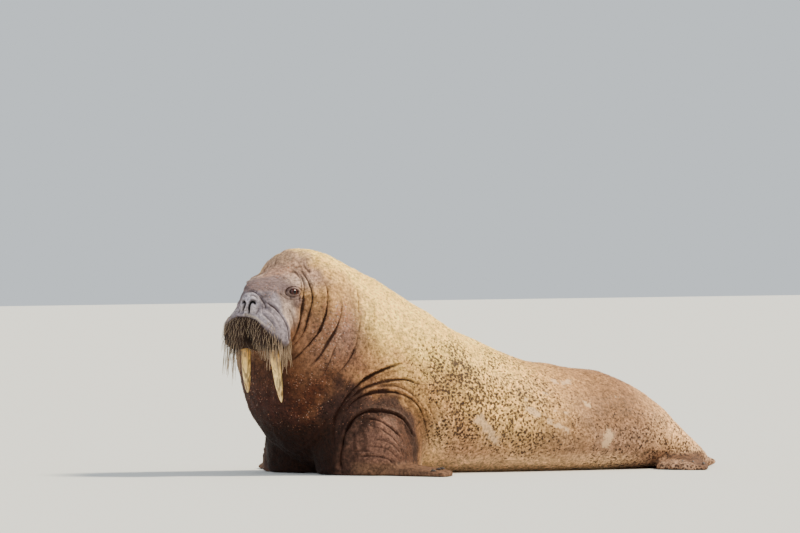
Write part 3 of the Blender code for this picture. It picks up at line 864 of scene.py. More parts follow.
place = head_places(points)
lid_shade = np.zeros(len(points))
for side, sign in SIDES:
    local = place * (1.0, sign, 1.0) - EYE_PLACE
    u, v, w = local @ EYE_ALONG, local @ EYE_UP, local @ EYE_LOOK
    tall = np.where(v > 0, OPEN_UPPER, OPEN_LOWER)
    ring = np.hypot(u / OPEN_WIDE, v / tall)
    near = (ring < LID_REACH) & (w > -0.03)
    ball = np.sqrt(np.maximum(EYE_RADIUS**2 - u**2 - v**2, 0.0))
    rim = LID_RISE * hump(ring, 1.36, 0.24)
    lid = np.maximum(ball, LID_LEAST) + LID_OFF_BALL + rim
    edge = rising(ring, 0.94, 0.16)
    target = (ball - BALL_SUNK) * (1.0 - edge) + lid * edge
    blend = rising(ring, 1.35, LID_REACH - 1.35)
    upper = smooth(v / 0.012 + 0.5)
    creases = 0.0
    for away, wide, over_eye, under_eye in LID_CREASES:
        creases += LID_CREASE * (over_eye * upper + under_eye * (1.0 - upper)) * hump(ring, away, wide)
    wanted = target * (1.0 - blend) + w * blend - creases
    moved = local + np.outer(wanted - w, EYE_LOOK)
    place[near] = ((moved + EYE_PLACE) * (1.0, sign, 1.0))[near]
    forward = smooth(0.5 - u / 0.045)
    # The lid's edge is dark, and the creases and a halo round the eye get painted shade.
    lid_margin_and_shade = hump(ring, 1.0, 0.20) + (0.25 + 0.65 * forward) * creases / LID_CREASE
    lid_margin_and_shade += (0.10 + 0.25 * forward * upper) * hump(ring, 1.4, 0.8)
    lid_shade = np.maximum(lid_shade, np.where(near, np.minimum(lid_margin_and_shade, 1.0), 0.0))
    print(side, "eye: skin at", round(float(np.median(w[ring < 0.5])) * 1000, 1), "mm from its middle")
points = on_head(place)
set_points(skin_mesh, points)

# %% [markdown]
# ## Nostrils
# The nostrils are two crescent slits in the blunt nose, which close when the animal dives. A slit is
# a short curved line in the nose's front, with the skin pressed in along it and raised beside it.

# %% Nostrils
NOSTRILS = (
    ((248.9, 314.0), (249.4, 309.5), (250.2, 304.6), (252.0, 301.6), (255.0, 302.0), (256.6, 305.0)),
    ((243.0, 313.0), (244.0, 309.0), (245.2, 305.5), (245.4, 302.4), (243.8, 301.4), (242.2, 303.6)),
)
NOSE_GROOVE = ((248.0, 301), (247.2, 308), (246.2, 315.5))
SLIT_STEP, SLIT_DEPTH, SLIT_LIP = 0.003, 0.016, 0.0035
build_tree()
normals = normals_of(skin_mesh)
nostril_shade = np.zeros(len(points))
height = np.zeros(len(points))
for line in NOSTRILS:
    near, gap, along = distance_along(points, resampled(cast(line), SLIT_STEP))
    ends = smooth(along / 0.12) * falling(along, 1.0, 0.16)
    height[near] -= SLIT_DEPTH * ends * hump(gap, 0.0, 0.0050)
    height[near] += SLIT_LIP * hump(gap, 0.012, 0.005)
    # Painted shade inside the nostril slits.
    strengthen(nostril_shade, near, np.minimum(1.0, 1.8 * ends * hump(gap, 0.0, 0.0058)))
near, gap, along = distance_along(points, resampled(cast(NOSE_GROOVE), SLIT_STEP))
height[near] -= 0.004 * hump(gap, 0.0, 0.0032) * smooth(along / 0.2)
strengthen(groove, near, 0.6 * hump(gap, 0.0, 0.0030) * smooth(along / 0.2))
points = points + normals * height[:, None]
points[:, 2] = np.maximum(points[:, 2], 0.0)
set_points(skin_mesh, points)
print("nostrils pressed in", round(float(-height.min()) * 1000, 1), "mm")

# %% [markdown]
# ## Colours of the hide
# The hide is straw gold on the back, tan on the flank, pinkish brown on the rump, dark red brown on
# the chest and arms, and grey on the face. The gold is partly painted light and the dark red brown
# partly painted shade, and some coats are painted shade or painted light alone. These broad colours
# are stored on the points, so that the skin and its short hair share them. Each is a coat of paint
# laid over the last, with a share that rises and falls along the straight body. The material adds
# what is finer than the points.


# %% Paint
def linear(red, green, blue):
    """A colour from its screen values of 0 to 255."""
    value = np.array((red, green, blue)) / 255.0
    return np.where(value < 0.04045, value / 12.92, ((value + 0.055) / 1.055) ** 2.4)


class Paint:
    """Colours on points, laid on in coats of screen values."""

    def __init__(self, count, *colour):
        self.colours = np.tile(linear(*colour), (count, 1))

    def coat(self, share, *colour):
        """Lays a colour over what is there, by a share for each point."""
        share = np.clip(share, 0.0, 1.0)[:, None]
        self.colours = self.colours + (linear(*colour) - self.colours) * share


print("paint is mixed in linear light: mid grey is", linear(128, 128, 128).round(3)[0])


# %% Colours of the trunk
def paint_trunk(paint, body, normals, drift):
    x, y, z = body.T
    line = 0.62 - 0.9 * x
    # Straw gold on the top of the back: partly its own colour, partly painted light from above.
    gold = rising(z - line + 2.0 * drift, -0.10, 0.34) * falling(x, 1.18 + drift, 0.50)
    paint.coat(0.94 * gold, 255, 213, 120)
    flank = rising(x, 0.25, 0.25) * falling(z, 0.60, 0.25)
    paint.coat(0.50 * flank, 222, 166, 112)
    warm = smooth((line + 0.02 - z + 2.0 * drift) / 0.34) * falling(x, 0.36 + drift, 0.22)
    paint.coat(0.88 * warm, 120, 80, 58)
    # Painted shade on the neck among its rolls of hide.
    neck_roll_shade = hump(x, -0.20, 0.15) * hump(z, 0.67, 0.13)
    paint.coat(0.85 * neck_roll_shade, 122, 91, 82)
    rump = smooth((x + drift - 0.86 - 0.3 * z) / 0.52)
    paint.coat(0.9 * rump, 156, 112, 80)
    # Painted shade in the hollow between the pelvis and the flank.
    rump_hollow_shade = hump(x, 1.34, 0.22) * hump(z + 0.5 * drift, 0.29, 0.15)
    paint.coat(0.75 * rump_hollow_shade, 126, 90, 62)
    paint.coat(0.62 * falling(z, 0.30 + drift, 0.24), 172, 138, 114)
    # Painted shade: darker where the skin faces down.
    paint.coat(0.3 * smooth(-normals[:, 2] * 1.4), 120, 80, 56)
    # Painted light: the lowest band of the flank made paler against the shade of the floor.
    low_painted_light = falling(z, 0.11, 0.09) * rising(x, 0.21, 0.10) * falling(x, 1.60, 0.3)
    paint.coat(0.70 * low_painted_light, 240, 198, 150)
    # Darker patches behind the arm and low on the flank.
    dark_patches = hump(x, 0.41, 0.15) * hump(z, 0.44, 0.15) + hump(x, 0.98, 0.16) * hump(z, 0.16, 0.09)
    paint.coat(0.48 * dark_patches, 122, 89, 62)


# %% Colours of the chest and the arms
def paint_chest(paint, body, normals, drift):
    x, y, z = body.T
    # Dark red brown chest: partly its own colour, partly painted shade.
    chest = smooth((-0.09 + 2.0 * drift - x + 0.45 * (0.35 - z)) / 0.24)
    paint.coat(0.95 * chest * falling(z, 0.59 + drift, 0.25), 60, 26, 15)
    behind_arm = falling(z, 0.36, 0.2)
    # Painted light behind the arm, against the shade under the body.
    paint.coat(0.7 * hump(x, 0.34, 0.06) * behind_arm, 240, 194, 138)
    # Painted shade in the crease at the back of the arm.
    paint.coat(0.75 * hump(x, 0.215, 0.06) * behind_arm, 112, 73, 42)
    # A dark ring round the forearm: partly dark hide, partly painted shade in its groove.
    elbow = np.hypot((x - 0.02) / np.where(x > 0.02, 0.56, 0.80), z)
    outward = rising(np.abs(y), 0.20, 0.1)
    band = 0.41 + 0.11 * falling(x, -0.02, 0.12) + drift
    paint.coat(0.86 * smooth((band - elbow) / 0.08) * outward, 50, 33, 31)
    # The arm's dark browns: partly its own colour, partly painted shade.
    upper_arm = 0.9 * falling(elbow, 0.295 + 0.5 * drift, 0.05) * outward
    paint.coat(upper_arm, 124, 88, 72)
    paint.coat(upper_arm * rising(x, -0.02, 0.11), 78, 51, 39)
    shaded = falling(normals[:, 0], -0.72, 0.20) * falling(z, 0.42, 0.12) * (x < 0.3)
    paint.coat(0.75 * shaded, 42, 24, 19)
    # Painted shade under the head, at the throat.
    throat_shade = falling(np.abs(y), 0.24, 0.12) * falling(z, 0.66 + drift, 0.12) * falling(x, -0.22, 0.08)
    paint.coat(0.8 * throat_shade, 62, 36, 31)
    # Painted shadow under the chest, between the arms and down to the floor.
    between = falling(z, 0.32 + drift, 0.14) * smooth((0.085 - x - 0.6 * np.abs(y)) / 0.13)
    paint.coat(0.93 * between, 34, 17, 12)
    cap = falling(x, -0.17 + 1.5 * drift, 0.12) * rising(z, 0.84, 0.08)
    paint.coat(0.85 * cap, 158, 124, 112)


# %% [markdown]
# ## Colours of the face
# The face is a grey mask with a paler nose button and cheek, and painted shade in the hollow beside
# the bridge of the nose and the hollow before the eye. Its shares run over the places on the head, so
# both sides get them. Small patches by the eye stand in a table: their place ahead and above, their
# size, their share and their colour; the last two, before and under the eye, are painted shade.
# The pads' underside, below the rim, is painted shade.

# %% Colours of the face
BUTTON_PLACE, BUTTON_HALF = (0.165, 0.0, -0.058), (0.06, 0.062, 0.064)
EYE_PATCHES_AND_SHADE = (
    ((-0.050, 0.045), 0.035, 0.5, (208, 182, 164)),
    ((-0.032, -0.090), 0.040, 0.6, (106, 74, 54)),
    # These two patches, before and under the eye, are painted shade.
    ((0.050, -0.034), 0.024, 0.7, (84, 68, 69)),
    ((0.012, -0.060), 0.021, 0.8, (66, 48, 46)),
)
HOLLOW_SHADES = (((0.138, 0.060, -0.022), 0.030, 1.0), ((0.075, 0.085, 0.015), 0.040, 0.4))


def button_share(head):
    """How far a place on the head lies in the nose button."""
    return smooth(1.15 - np.linalg.norm((head - BUTTON_PLACE) / BUTTON_HALF, axis=1))


def paint_face(paint, head, drift):
    """Paints the face and gives its share back."""
    ahead, aside, above = head[:, 0], np.abs(head[:, 1]), head[:, 2]
    inner = ahead + 0.045 + 0.6 * drift - 0.40 * np.maximum(0.0, -above - 0.02)
    inner = inner + 0.070 * falling(head[:, 1], 0.02, 0.10) * rising(above, -0.14, 0.08)
    tawny = hump(inner, -0.030, 0.030) * falling(above, -0.04, 0.08) * rising(above, -0.30, 0.05)
    paint.coat(0.5 * tawny, 170, 124, 90)
    face = smooth(inner / 0.05) * rising(above, -0.38, 0.05) * falling(above, 0.095 + 0.5 * drift, 0.03)
    paint.coat(0.95 * face, 132, 110, 105)
    brow = rising(ahead, -0.02, 0.05) * rising(above, -0.03, 0.05) * falling(above, 0.10, 0.05)
    paint.coat(0.75 * brow, 110, 91, 91)
    cheek = smooth(1.2 - np.hypot((ahead - 0.055) / 0.06, (above + 0.10) / 0.10))
    paint.coat(0.7 * np.minimum(1.0, 1.2 * cheek * rising(aside, 0.06, 0.03)), 192, 166, 150)
    inside = rising(ahead, 0.075, 0.03) * falling(above, 0.012, 0.02) * rising(above, -0.30, 0.04)
    paint.coat(0.8 * inside, 136, 126, 134)
    paint.coat(2.5 * button_share(head), 178, 168, 176)
    for spot, wide, share, colour in EYE_PATCHES_AND_SHADE:
        gap = np.hypot(ahead - spot[0], above - spot[1])
        paint.coat(share * hump(gap, 0.0, wide) * rising(aside, 0.05, 0.03), *colour)
    half_head = np.stack((ahead, aside, above), -1)
    # Painted shade in the hollows beside the nose and before the eye.
    hollow_shade = sum(
        share * hump(np.linalg.norm(half_head - spot, axis=1), 0.0, wide) for spot, wide, share in HOLLOW_SHADES
    )
    paint.coat(0.85 * hollow_shade, 84, 72, 74)
    below = below_rim(head)
    outer = rising(aside, 0.07, 0.06)
    front = rising(ahead, 0.02, 0.04) * rising(above, -0.36, 0.04)
    rim_band = hump(below, -0.002, 0.006) * (1.0 - outer) * rising(head[:, 1], -0.03, 0.04)
    paint.coat(0.7 * rim_band * front, 196, 178, 156)
    lip_band = hump(below, -0.026, 0.018) * falling(aside, 0.15, 0.04)
    paint.coat(0.5 * lip_band * front, 196, 182, 184)
    # Painted shade on the pads' underside, below their rim.
    pad_underside_shade = smooth((below - 0.002 + 0.010 * outer) / (0.010 + 0.034 * outer))
    paint.coat(0.97 * pad_underside_shade * front, 44, 29, 20)
    return face


# %% Colours of the whole hide
def hide_colours(points, normals):
    """The hide's broad colours at these points."""
    body = straightened(points)
    x, y, z = body.T
    drift = 0.030 * ripple(body, 0.30, 21) + 0.018 * ripple(body, 0.09, 22)
    paint = Paint(len(points), 194, 146, 92)
    paint_trunk(paint, body, normals, drift)
    paint_chest(paint, body, normals, drift)
    face = paint_face(paint, head_places(points), drift)
    gilt = rising(x, 1.45, 0.35) * rising(z, 0.03, 0.10)
    paint.coat(0.8 * gilt, 244, 192, 136)
    feet = falling(z, 0.075, 0.03) * rising(np.abs(y), 0.36, 0.06) * (x < 0.6)
    hind = falling(z, 0.09, 0.03) * rising(x, 1.62, 0.08) * rising(np.abs(y), 0.12, 0.05)
    paint.coat(np.maximum(feet, hind), 104, 75, 57)
    mottle = 1.0 + 0.07 * ripple(body, 0.07, 23) + 0.06 * ripple(body, 0.03, 24)
    mottle += face * (0.11 * ripple(body, 0.020, 25) + 0.09 * ripple(body, 0.010, 26))
    return np.clip(paint.colours * mottle[:, None], 0.0, 1.0)


normals = normals_of(skin_mesh)
colours = hide_colours(points, normals)
print("mean colour", colours.mean(axis=0).round(3))

# %% [markdown]
# ## Marks on the hide
# Masks say where the material adds its smaller marks: dirt and painted shade in the folds and the lid
# creases, dark pits on the flank that are partly mud and partly painted shade, pale scars, pale flecks
# on the neck, and painted shade in the nostrils and in the notch between the pads. Each is a number on
# every point. The scars are drawn as lines on the near side, like the folds, and stand a little further
# back on the far side, because no animal is scarred alike on both.

# %% Helpers for masks
def add_mask(mesh, name, values):
    layer = mesh.attributes.new(name, "FLOAT", "POINT")
    layer.data.foreach_set("value", np.ascontiguousarray(values, np.float32))


def add_colours(mesh, name, values):
    layer = mesh.attributes.new(name, "FLOAT_COLOR", "POINT")
    flat = np.concatenate((values, np.ones((len(values), 1))), axis=1)
    layer.data.foreach_set("color", np.ascontiguousarray(flat, np.float32).ravel())


print("masks and colours are kept on the points")

# %% Scars
SCARS = (
    (((474, 410), (481, 421), (490, 432), (502, 446)), 0.030),
    (((517, 402), (527, 408), (543, 416), (555, 426), (573, 432)), 0.019),
    (((527, 397), (526, 403), (530, 410)), 0.013),
    (((541, 403), (543, 410), (547, 418)), 0.015),
    (((551, 377), (558, 384), (566, 383), (574, 381)), 0.022),
    (((541, 391), (549, 396), (556, 401)), 0.009),
    (((553, 410), (561, 412), (570, 414)), 0.008),
    (((581, 400), (587, 404), (593, 409)), 0.014),
    (((607, 427), (609, 438), (606, 450)), 0.026),
    (((614, 396), (618, 397), (621, 399)), 0.010),
)
FAR_SCAR_SHIFT = (0.05, 0.0, 0.02)
straight = straightened(points)
scar = np.zeros(len(points))
build_tree()
for pixels, width in SCARS:
    line = resampled(cast(pixels))
    for curve in (line, on_skin(mirrored(line) + FAR_SCAR_SHIFT)):
        near, gap, along = distance_along(points, curve)
        blunt = smooth(0.25 + along / 0.3) * smooth(0.25 + (1.0 - along) / 0.3)
        strengthen(scar, near, blunt * hump(gap, 0.0, width))
print("scarred share", round(float((scar > 0.5).mean()), 4))

# %% Pits and flecks
x, y, z = straight.T
spread = 0.05 * ripple(straight, 0.2, 32)
# Dark pits on the flank: partly mud, partly painted shade in the rough skin.
pits = rising(x + spread, 0.22, 0.15) * falling(x, 1.25 + spread, 0.5) * falling(z, 0.66 + spread, 0.2)
pits = pits * rising(normals[:, 2], -0.8, 0.4)
dense = hump(x, 0.45, 0.22) * hump(z + 0.3 * (x - 0.45), 0.40, 0.14)
rear = rising(x, 1.1, 0.3) * falling(z, 0.34, 0.15)
pits = np.clip(0.62 * pits + 0.8 * dense + 0.45 * rear, 0.0, 1.0)
place = head_places(points)
off_face = 1.0 - rising(place[:, 0], -0.03, 0.06) * rising(place[:, 2], -0.4, 0.05)
flecks = falling(x, 0.10, 0.2) * rising(z, 0.16, 0.15) * falling(z, 0.95, 0.15) * off_face
patch = 0.85 * hump(x, -0.26, 0.11) * hump(z, 0.68, 0.14)
crown = hump(x, -0.40, 0.07) * rising(z, 0.90, 0.05)
flecks = np.clip(flecks * (0.20 + patch) + 0.8 * crown * off_face, 0.0, 1.0)
flecks = np.maximum(flecks, 0.30 * rising(place[:, 0], 0.03, 0.05) * rising(place[:, 2], -0.05, 0.05))
add_colours(skin_mesh, "hide_colour", colours)
for name, values in (
    ("groove", np.maximum(groove, lid_shade)),
    ("slit_shade", np.maximum(nostril_shade, 0.9 * notch_shade)),
    ("scar", scar),
    ("pits", pits),
    ("flecks", flecks),
    ("coarse", np.maximum(off_face, np.minimum(1.0, 2.5 * button_share(place)))),
):
    add_mask(skin_mesh, name, values)
print("pitted share", round(float((pits > 0.5).mean()), 3))

# %% [markdown]
# ## Node groups for the hide
# Three effects are used by more than one material, so each is a group that is built once: a fine
# grain that breaks up any colour, a cracked net of wrinkles for the bump, and specks. The specks
# grow from scattered seeds and have uneven edges, because even dots or bands would look printed.


# %% Helpers for nodes
def new_group(name, inputs, outputs):
    """An empty group with these sockets, and its input and output nodes."""
    group = bpy.data.node_groups.new(name, "ShaderNodeTree")
    for socket, kind, value in inputs:
        made = group.interface.new_socket(socket, in_out="INPUT", socket_type=kind)
        made.default_value = value
    for socket, kind in outputs:
        group.interface.new_socket(socket, in_out="OUTPUT", socket_type=kind)
    return group, group.nodes.new("NodeGroupInput").outputs, group.nodes.new("NodeGroupOutput")


def join(tree, made, links):
    """Links or sets the inputs of a node, by name or number."""
    for socket, value in links.items():
        if isinstance(value, bpy.types.NodeSocket):
            tree.links.new(value, made.inputs[socket])
        else:
            made.inputs[socket].default_value = value


def node(tree, kind, links, **settings):
    """A node with its settings, and its inputs linked or set."""
    made = tree.nodes.new(kind)
    for key, value in settings.items():
        setattr(made, key, value)
    join(tree, made, links)
    return made


def times(tree, first, second, clamp=False):
    links = {0: first, 1: second}
    return node(tree, "ShaderNodeMath", links, operation="MULTIPLY", use_clamp=clamp).outputs[0]


def plus(tree, first, second):
    return node(tree, "ShaderNodeMath", {0: first, 1: second}, operation="ADD").outputs[0]


def minus(tree, first, second):
    return node(tree, "ShaderNodeMath", {0: first, 1: second}, operation="SUBTRACT").outputs[0]


def remapped(tree, value, low, high, to_low, to_high):
    """A number moved from one range to another."""
    links = {"Value": value, 1: low, 2: high, 3: to_low, 4: to_high}
    return node(tree, "ShaderNodeMapRange", links).outputs[0]


def mixed(tree, share, first, second):
    """Two colours mixed by a share."""
    return node(tree, "ShaderNodeMix", {0: share, 6: first, 7: second}, data_type="RGBA").outputs[2]


def scaled(tree, colour, by):
    return node(tree, "ShaderNodeVectorMath", {0: colour, "Scale": by}, operation="SCALE").outputs[0]


def object_place(tree):
    return node(tree, "ShaderNodeTexCoord", {}).outputs["Object"]


def noise(tree, where, scale, detail, roughness=0.5):
    """Soft blotches, as many a metre as the scale says."""
    links = {"Vector": where, "Scale": scale, "Detail": detail, "Roughness": roughness}
    return node(tree, "ShaderNodeTexNoise", links)


def mask_of(tree, name):
    return node(tree, "ShaderNodeAttribute", {}, attribute_name=name).outputs["Fac"]


NUMBER, COLOUR = "NodeSocketFloat", "NodeSocketColor"
print("helpers for nodes are ready")

# %% Grain
grain, given, result = new_group(
    "hide_grain",
    (("Colour", COLOUR, (0.5, 0.5, 0.5, 1.0)), ("Size", NUMBER, 90.0), ("Strength", NUMBER, 0.3)),
    (("Colour", COLOUR), ("Height", NUMBER)),
)
coarse = noise(grain, object_place(grain), given["Size"], 3.0, 0.65).outputs["Fac"]
swing = times(grain, given["Strength"], 0.5)
lift = remapped(grain, coarse, 0.34, 0.66, minus(grain, 1.0, swing), plus(grain, 1.0, swing))
join(grain, result, {"Colour": scaled(grain, given["Colour"], lift), "Height": coarse})


def grained(tree, colour, size, strength):
    """A colour broken up by the fine grain, and the grain's height."""
    links = {"Colour": colour, "Size": size, "Strength": strength}
    made = node(tree, "ShaderNodeGroup", links, node_tree=grain)
    return made.outputs["Colour"], made.outputs["Height"]


print("grain:", len(grain.nodes), "nodes")

# %% Wrinkles
wrinkles, given, result = new_group(
    "hide_wrinkles",
    (("Size", NUMBER, 40.0), ("Depth", NUMBER, 1.0)),
    (("Height", NUMBER), ("Crack", NUMBER)),
)
where = object_place(wrinkles)
bent = noise(wrinkles, where, 9.0, 2.0).outputs["Color"]
pushed = scaled(wrinkles, bent, 0.10)
moved = node(wrinkles, "ShaderNodeVectorMath", {0: where, 1: pushed}, operation="ADD").outputs[0]
cells = node(
    wrinkles, "ShaderNodeTexVoronoi", {"Vector": moved, "Scale": given["Size"]}, feature="DISTANCE_TO_EDGE"
)
crack = remapped(wrinkles, cells.outputs["Distance"], 0.0, 0.16, 1.0, 0.0)
depth = times(wrinkles, crack, given["Depth"])
join(wrinkles, result, {"Height": minus(wrinkles, 1.0, depth), "Crack": crack})
print("wrinkles:", len(wrinkles.nodes), "nodes")

# %% Specks
specks, given, result = new_group(
    "specks",
    (("Size", NUMBER, 60.0), ("Share", NUMBER, 0.2), ("Mask", NUMBER, 1.0)),
    (("Mask", NUMBER),),
)
where = object_place(specks)
seeds = node(specks, "ShaderNodeTexVoronoi", {"Vector": where, "Scale": given["Size"]}).outputs["Distance"]
uneven = noise(specks, where, 90.0, 2.0, 0.6).outputs["Fac"]
dots = minus(specks, times(specks, uneven, 0.60), times(specks, seeds, 0.50))
patch = noise(specks, where, 6.0, 4.0, 0.7).outputs["Fac"]
some = times(specks, minus(specks, patch, 0.5), 0.35)
reach = plus(specks, times(specks, given["Share"], 0.30), some)
raised = plus(specks, minus(specks, dots, 0.41), reach)
thinned = plus(specks, raised, times(specks, given["Mask"], 0.16))
sharp = times(specks, thinned, 22.0, True)
present = times(specks, given["Mask"], 8.0, True)
join(specks, result, {"Mask": times(specks, sharp, present)})
print("specks:", len(specks.nodes), "nodes")

# %% [markdown]
# ## The hide's material
# Dirt and painted shade darken the grooves, and painted shade blackens the nostrils and the notch
# between the pads. Specks are dark on the flank, partly mud and partly painted shade in the pits, and
# pink and rust red on the neck, and scars are smooth and pale. The bump adds grain, and a net of
# cracks as the thick hide has. The look is a function, because the skin and the hair on it share it.

# %% Hide
MASKS = ("groove", "slit_shade", "scar", "pits", "flecks", "coarse")
CRACK_BROWN, FOLD_BROWN = (0.070, 0.036, 0.020, 1.0), (0.030, 0.011, 0.007, 1.0)
SLIT_SHADE_BLACK, SCAR_TAN = (0.006, 0.004, 0.004, 1.0), (0.80, 0.53, 0.31, 1.0)
Speck = namedtuple("Speck", "mask size share strength colour")
SPECKS = (
    # Dark pits: partly mud, partly painted shade.
    Speck("pits", 68.0, 0.75, 0.92, (0.056, 0.030, 0.021, 1.0)),
    Speck("flecks", 84.0, 0.40, 0.58, (0.62, 0.42, 0.34, 1.0)),
    Speck("flecks", 96.0, 0.56, 0.55, (0.40, 0.15, 0.075, 1.0)),
)


def hide_look(tree):
    """The colour of the hide, its relief and its fine grain, from the points' colours and masks."""
    broad = node(tree, "ShaderNodeAttribute", {}, attribute_name="hide_colour").outputs["Color"]
    masks = {name: mask_of(tree, name) for name in MASKS}
    roughly = plus(tree, times(tree, masks["coarse"], 0.50), 0.60)
    roughly = plus(tree, times(tree, masks["pits"], 0.45), roughly)
    colour, fine = grained(tree, broad, 72.0, roughly)
    colour = grained(tree, colour, 28.0, 0.30)[0]
    net = node(tree, "ShaderNodeGroup", {"Size": 82.0, "Depth": 0.8}, node_tree=wrinkles)
    seam = plus(tree, times(tree, masks["coarse"], 0.09), 0.05)
    colour = mixed(tree, times(tree, net.outputs["Crack"], seam), colour, CRACK_BROWN)
    shown = []
    for speck in SPECKS:
        links = {"Size": speck.size, "Share": speck.share, "Mask": masks[speck.mask]}
        shown.append(node(tree, "ShaderNodeGroup", links, node_tree=specks).outputs["Mask"])
        colour = mixed(tree, times(tree, shown[-1], speck.strength), colour, speck.colour)
    torn = noise(tree, object_place(tree), 22.0, 5.0, 0.7).outputs["Fac"]
    ripped = times(tree, minus(tree, torn, 0.5), 4.2)
    ragged = minus(tree, plus(tree, masks["scar"], ripped), 0.52)
    healed = times(tree, times(tree, ragged, 4.0, True), times(tree, masks["scar"], 3.0, True))
    filled = minus(tree, 0.92, times(tree, shown[0], 0.30))
    colour = mixed(tree, times(tree, healed, filled), colour, mixed(tree, 0.7, broad, SCAR_TAN))
    # Dirt and painted shade in the folds and the lid creases.
    colour = mixed(tree, times(tree, masks["groove"], 0.92, True), colour, FOLD_BROWN)
    # Painted shade: the nostrils and the notch between the pads near black.
    colour = mixed(tree, masks["slit_shade"], colour, SLIT_SHADE_BLACK)
    relief = plus(tree, times(tree, net.outputs["Height"], 0.35), fine)
    relief = minus(tree, relief, times(tree, shown[0], 0.9))
    relief = times(tree, relief, minus(tree, 1.0, times(tree, healed, 0.7)))
    return colour, relief, fine


hide, hide_shader = principled("walrus_hide")
tree = hide.node_tree
colour, relief, fine = hide_look(tree)
bump = node(tree, "ShaderNodeBump", {"Height": relief, "Strength": 0.8, "Distance": 0.005})
join(
    tree,
    hide_shader,
    {
        "Base Color": colour,
        "Roughness": remapped(tree, fine, 0.3, 0.7, 0.62, 0.88),
        "Normal": bump.outputs[0],
        "Specular IOR Level": 0.12,
    },
)
print("hide:", len(tree.nodes), "nodes")

# %% Skin on the frame
skin_mesh.materials.clear()
skin_mesh.materials.append(hide)
skin_mesh.shade_smooth()
skin = object_of("hide_skin", skin_mesh)
flesh = ["hindquarters", "torso", "neck", "head", "nose", "lower_jaw", "tail"]
for side, _ in SIDES:
    flesh += [part + side for part in ("whisker_pad_", "arm_", "foreflipper_", "hind_flipper_")]
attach(skin, "root")
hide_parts(*flesh)
print("the skin stands for", len(flesh), "nodes")

# %% [markdown]
# ## Short coat
# The hair of a walrus is a finger's breadth long, stiff and thin, and lies back along the body, so
# the bump shows most of it. Tufts that stand a little off the skin break its outline and catch the
# light. Each is a narrow bent blade of three triangles, laid out for all roots at once with arrays.

# %% Roots of the coat
COAT_TUFTS, BLADE_POINTS = 64000, 5
COAT_SEEDS = {"left": 51, "right": 52}
skin_mesh.calc_loop_triangles()
flat = np.empty(len(skin_mesh.loop_triangles) * 3, np.int32)
skin_mesh.loop_triangles.foreach_get("vertices", flat)
thirds = flat.reshape(-1, 3)
a, b, c = (points[thirds[:, k]] for k in range(3))
area = np.linalg.norm(np.cross(b - a, c - a), axis=1)
x, y, z = straight.T
bare = falling(z, 0.080, 0.03) * rising(np.abs(y), 0.36, 0.06) * (x < 0.6)
hind = falling(z, 0.12, 0.03) * rising(x, 1.60, 0.08) * rising(np.abs(y), 0.10, 0.05)
bare = np.maximum(bare, hind)
furry = off_face * (1.0 - groove) * (1.0 - bare) * (1.0 - 0.7 * scar)
furry = furry * rising(points[:, 2], 0.012, 0.03)
weight = area * furry[thirds].min(axis=1)
print("bare share of the skin:", round(float(1.0 - weight.sum() / area.sum()), 2))

# %% Blades of the coat
HAIR_SHORT, HAIR_LONG, HAIR_WIDE = 0.008, 0.015, 0.0022
HAIR_TILT, HAIR_PATCH = math.radians(17.0), 0.003
PATCH_CORNERS = np.array(((0.0, 0.0), (1.0, 0.0), (0.0, 0.5), (1.0, 0.5), (0.5, 1.0)))
hair, hair_shader = principled("coat_hair")
tree = hair.node_tree
glow = plus(tree, times(tree, mask_of(tree, "to_tip"), 0.55), 0.80)
colour = scaled(tree, hide_look(tree)[0], glow)
join(tree, hair_shader, {"Base Color": colour, "Roughness": 0.55, "Specular IOR Level": 0.15})


def at_roots(values, corners, shares):
    """Values at the roots, mixed from the three corners of each root's triangle."""
    return (values[corners] * shares.reshape(shares.shape + (1,) * (values.ndim - 1))).sum(axis=1)


def coat_blades(root, up, where, rng):
    """Five points for each blade, and the mean length: sunk root, bent middle and tip."""
    arm_share = falling(np.hypot((where[:, 0] - 0.02) / 0.80, where[:, 2]), 0.36, 0.14)
    arm_share = arm_share * rising(np.abs(where[:, 1]), 0.20, 0.1)
    turned = turn_at(where)
    lie = np.stack((np.cos(turned), np.sin(turned), -0.35 - 1.5 * arm_share), -1)
    lie = lie + rng.normal(0.0, 0.22, lie.shape)
    lie = unit(lie - up * (lie * up).sum(axis=1)[:, None])
    beside = np.cross(up, lie)
    small = 1.0 - 0.4 * falling(where[:, 0], 0.10, 0.3)
    length = (rng.uniform(HAIR_SHORT, HAIR_LONG, COAT_TUFTS) * small)[:, None]
    tilt = (HAIR_TILT * rng.uniform(0.5, 1.5, COAT_TUFTS))[:, None]
    half = 0.5 * HAIR_WIDE * rng.uniform(0.7, 1.2, (COAT_TUFTS, 1)) * beside
    middle = root + 0.55 * length * (lie * np.cos(tilt) + up * np.sin(tilt))
    end = root + length * (lie * np.cos(0.7 * tilt) + up * np.sin(0.7 * tilt))
    sunk = root - 0.001 * up
    blades = np.stack((sunk - half, sunk + half, middle - 0.8 * half, middle + 0.8 * half, end), 1)
    return blades, float(length.mean())


def coat_places(where):
    """A small patch of the map for each blade, by its place along the body and round it."""
    middle_high = 0.5 * np.interp(where[:, 0], STATIONS[::-1, 0], STATIONS[::-1, 1])
    around = np.arctan2(np.abs(where[:, 1]), where[:, 2] - middle_high) / math.pi
    spot = np.stack(((where[:, 0] + 0.65) / 2.75, around), -1)[:, None]
    return spot + HAIR_PATCH * PATCH_CORNERS


print("hair:", round(1000 * HAIR_SHORT), "to", round(1000 * HAIR_LONG), "mm")

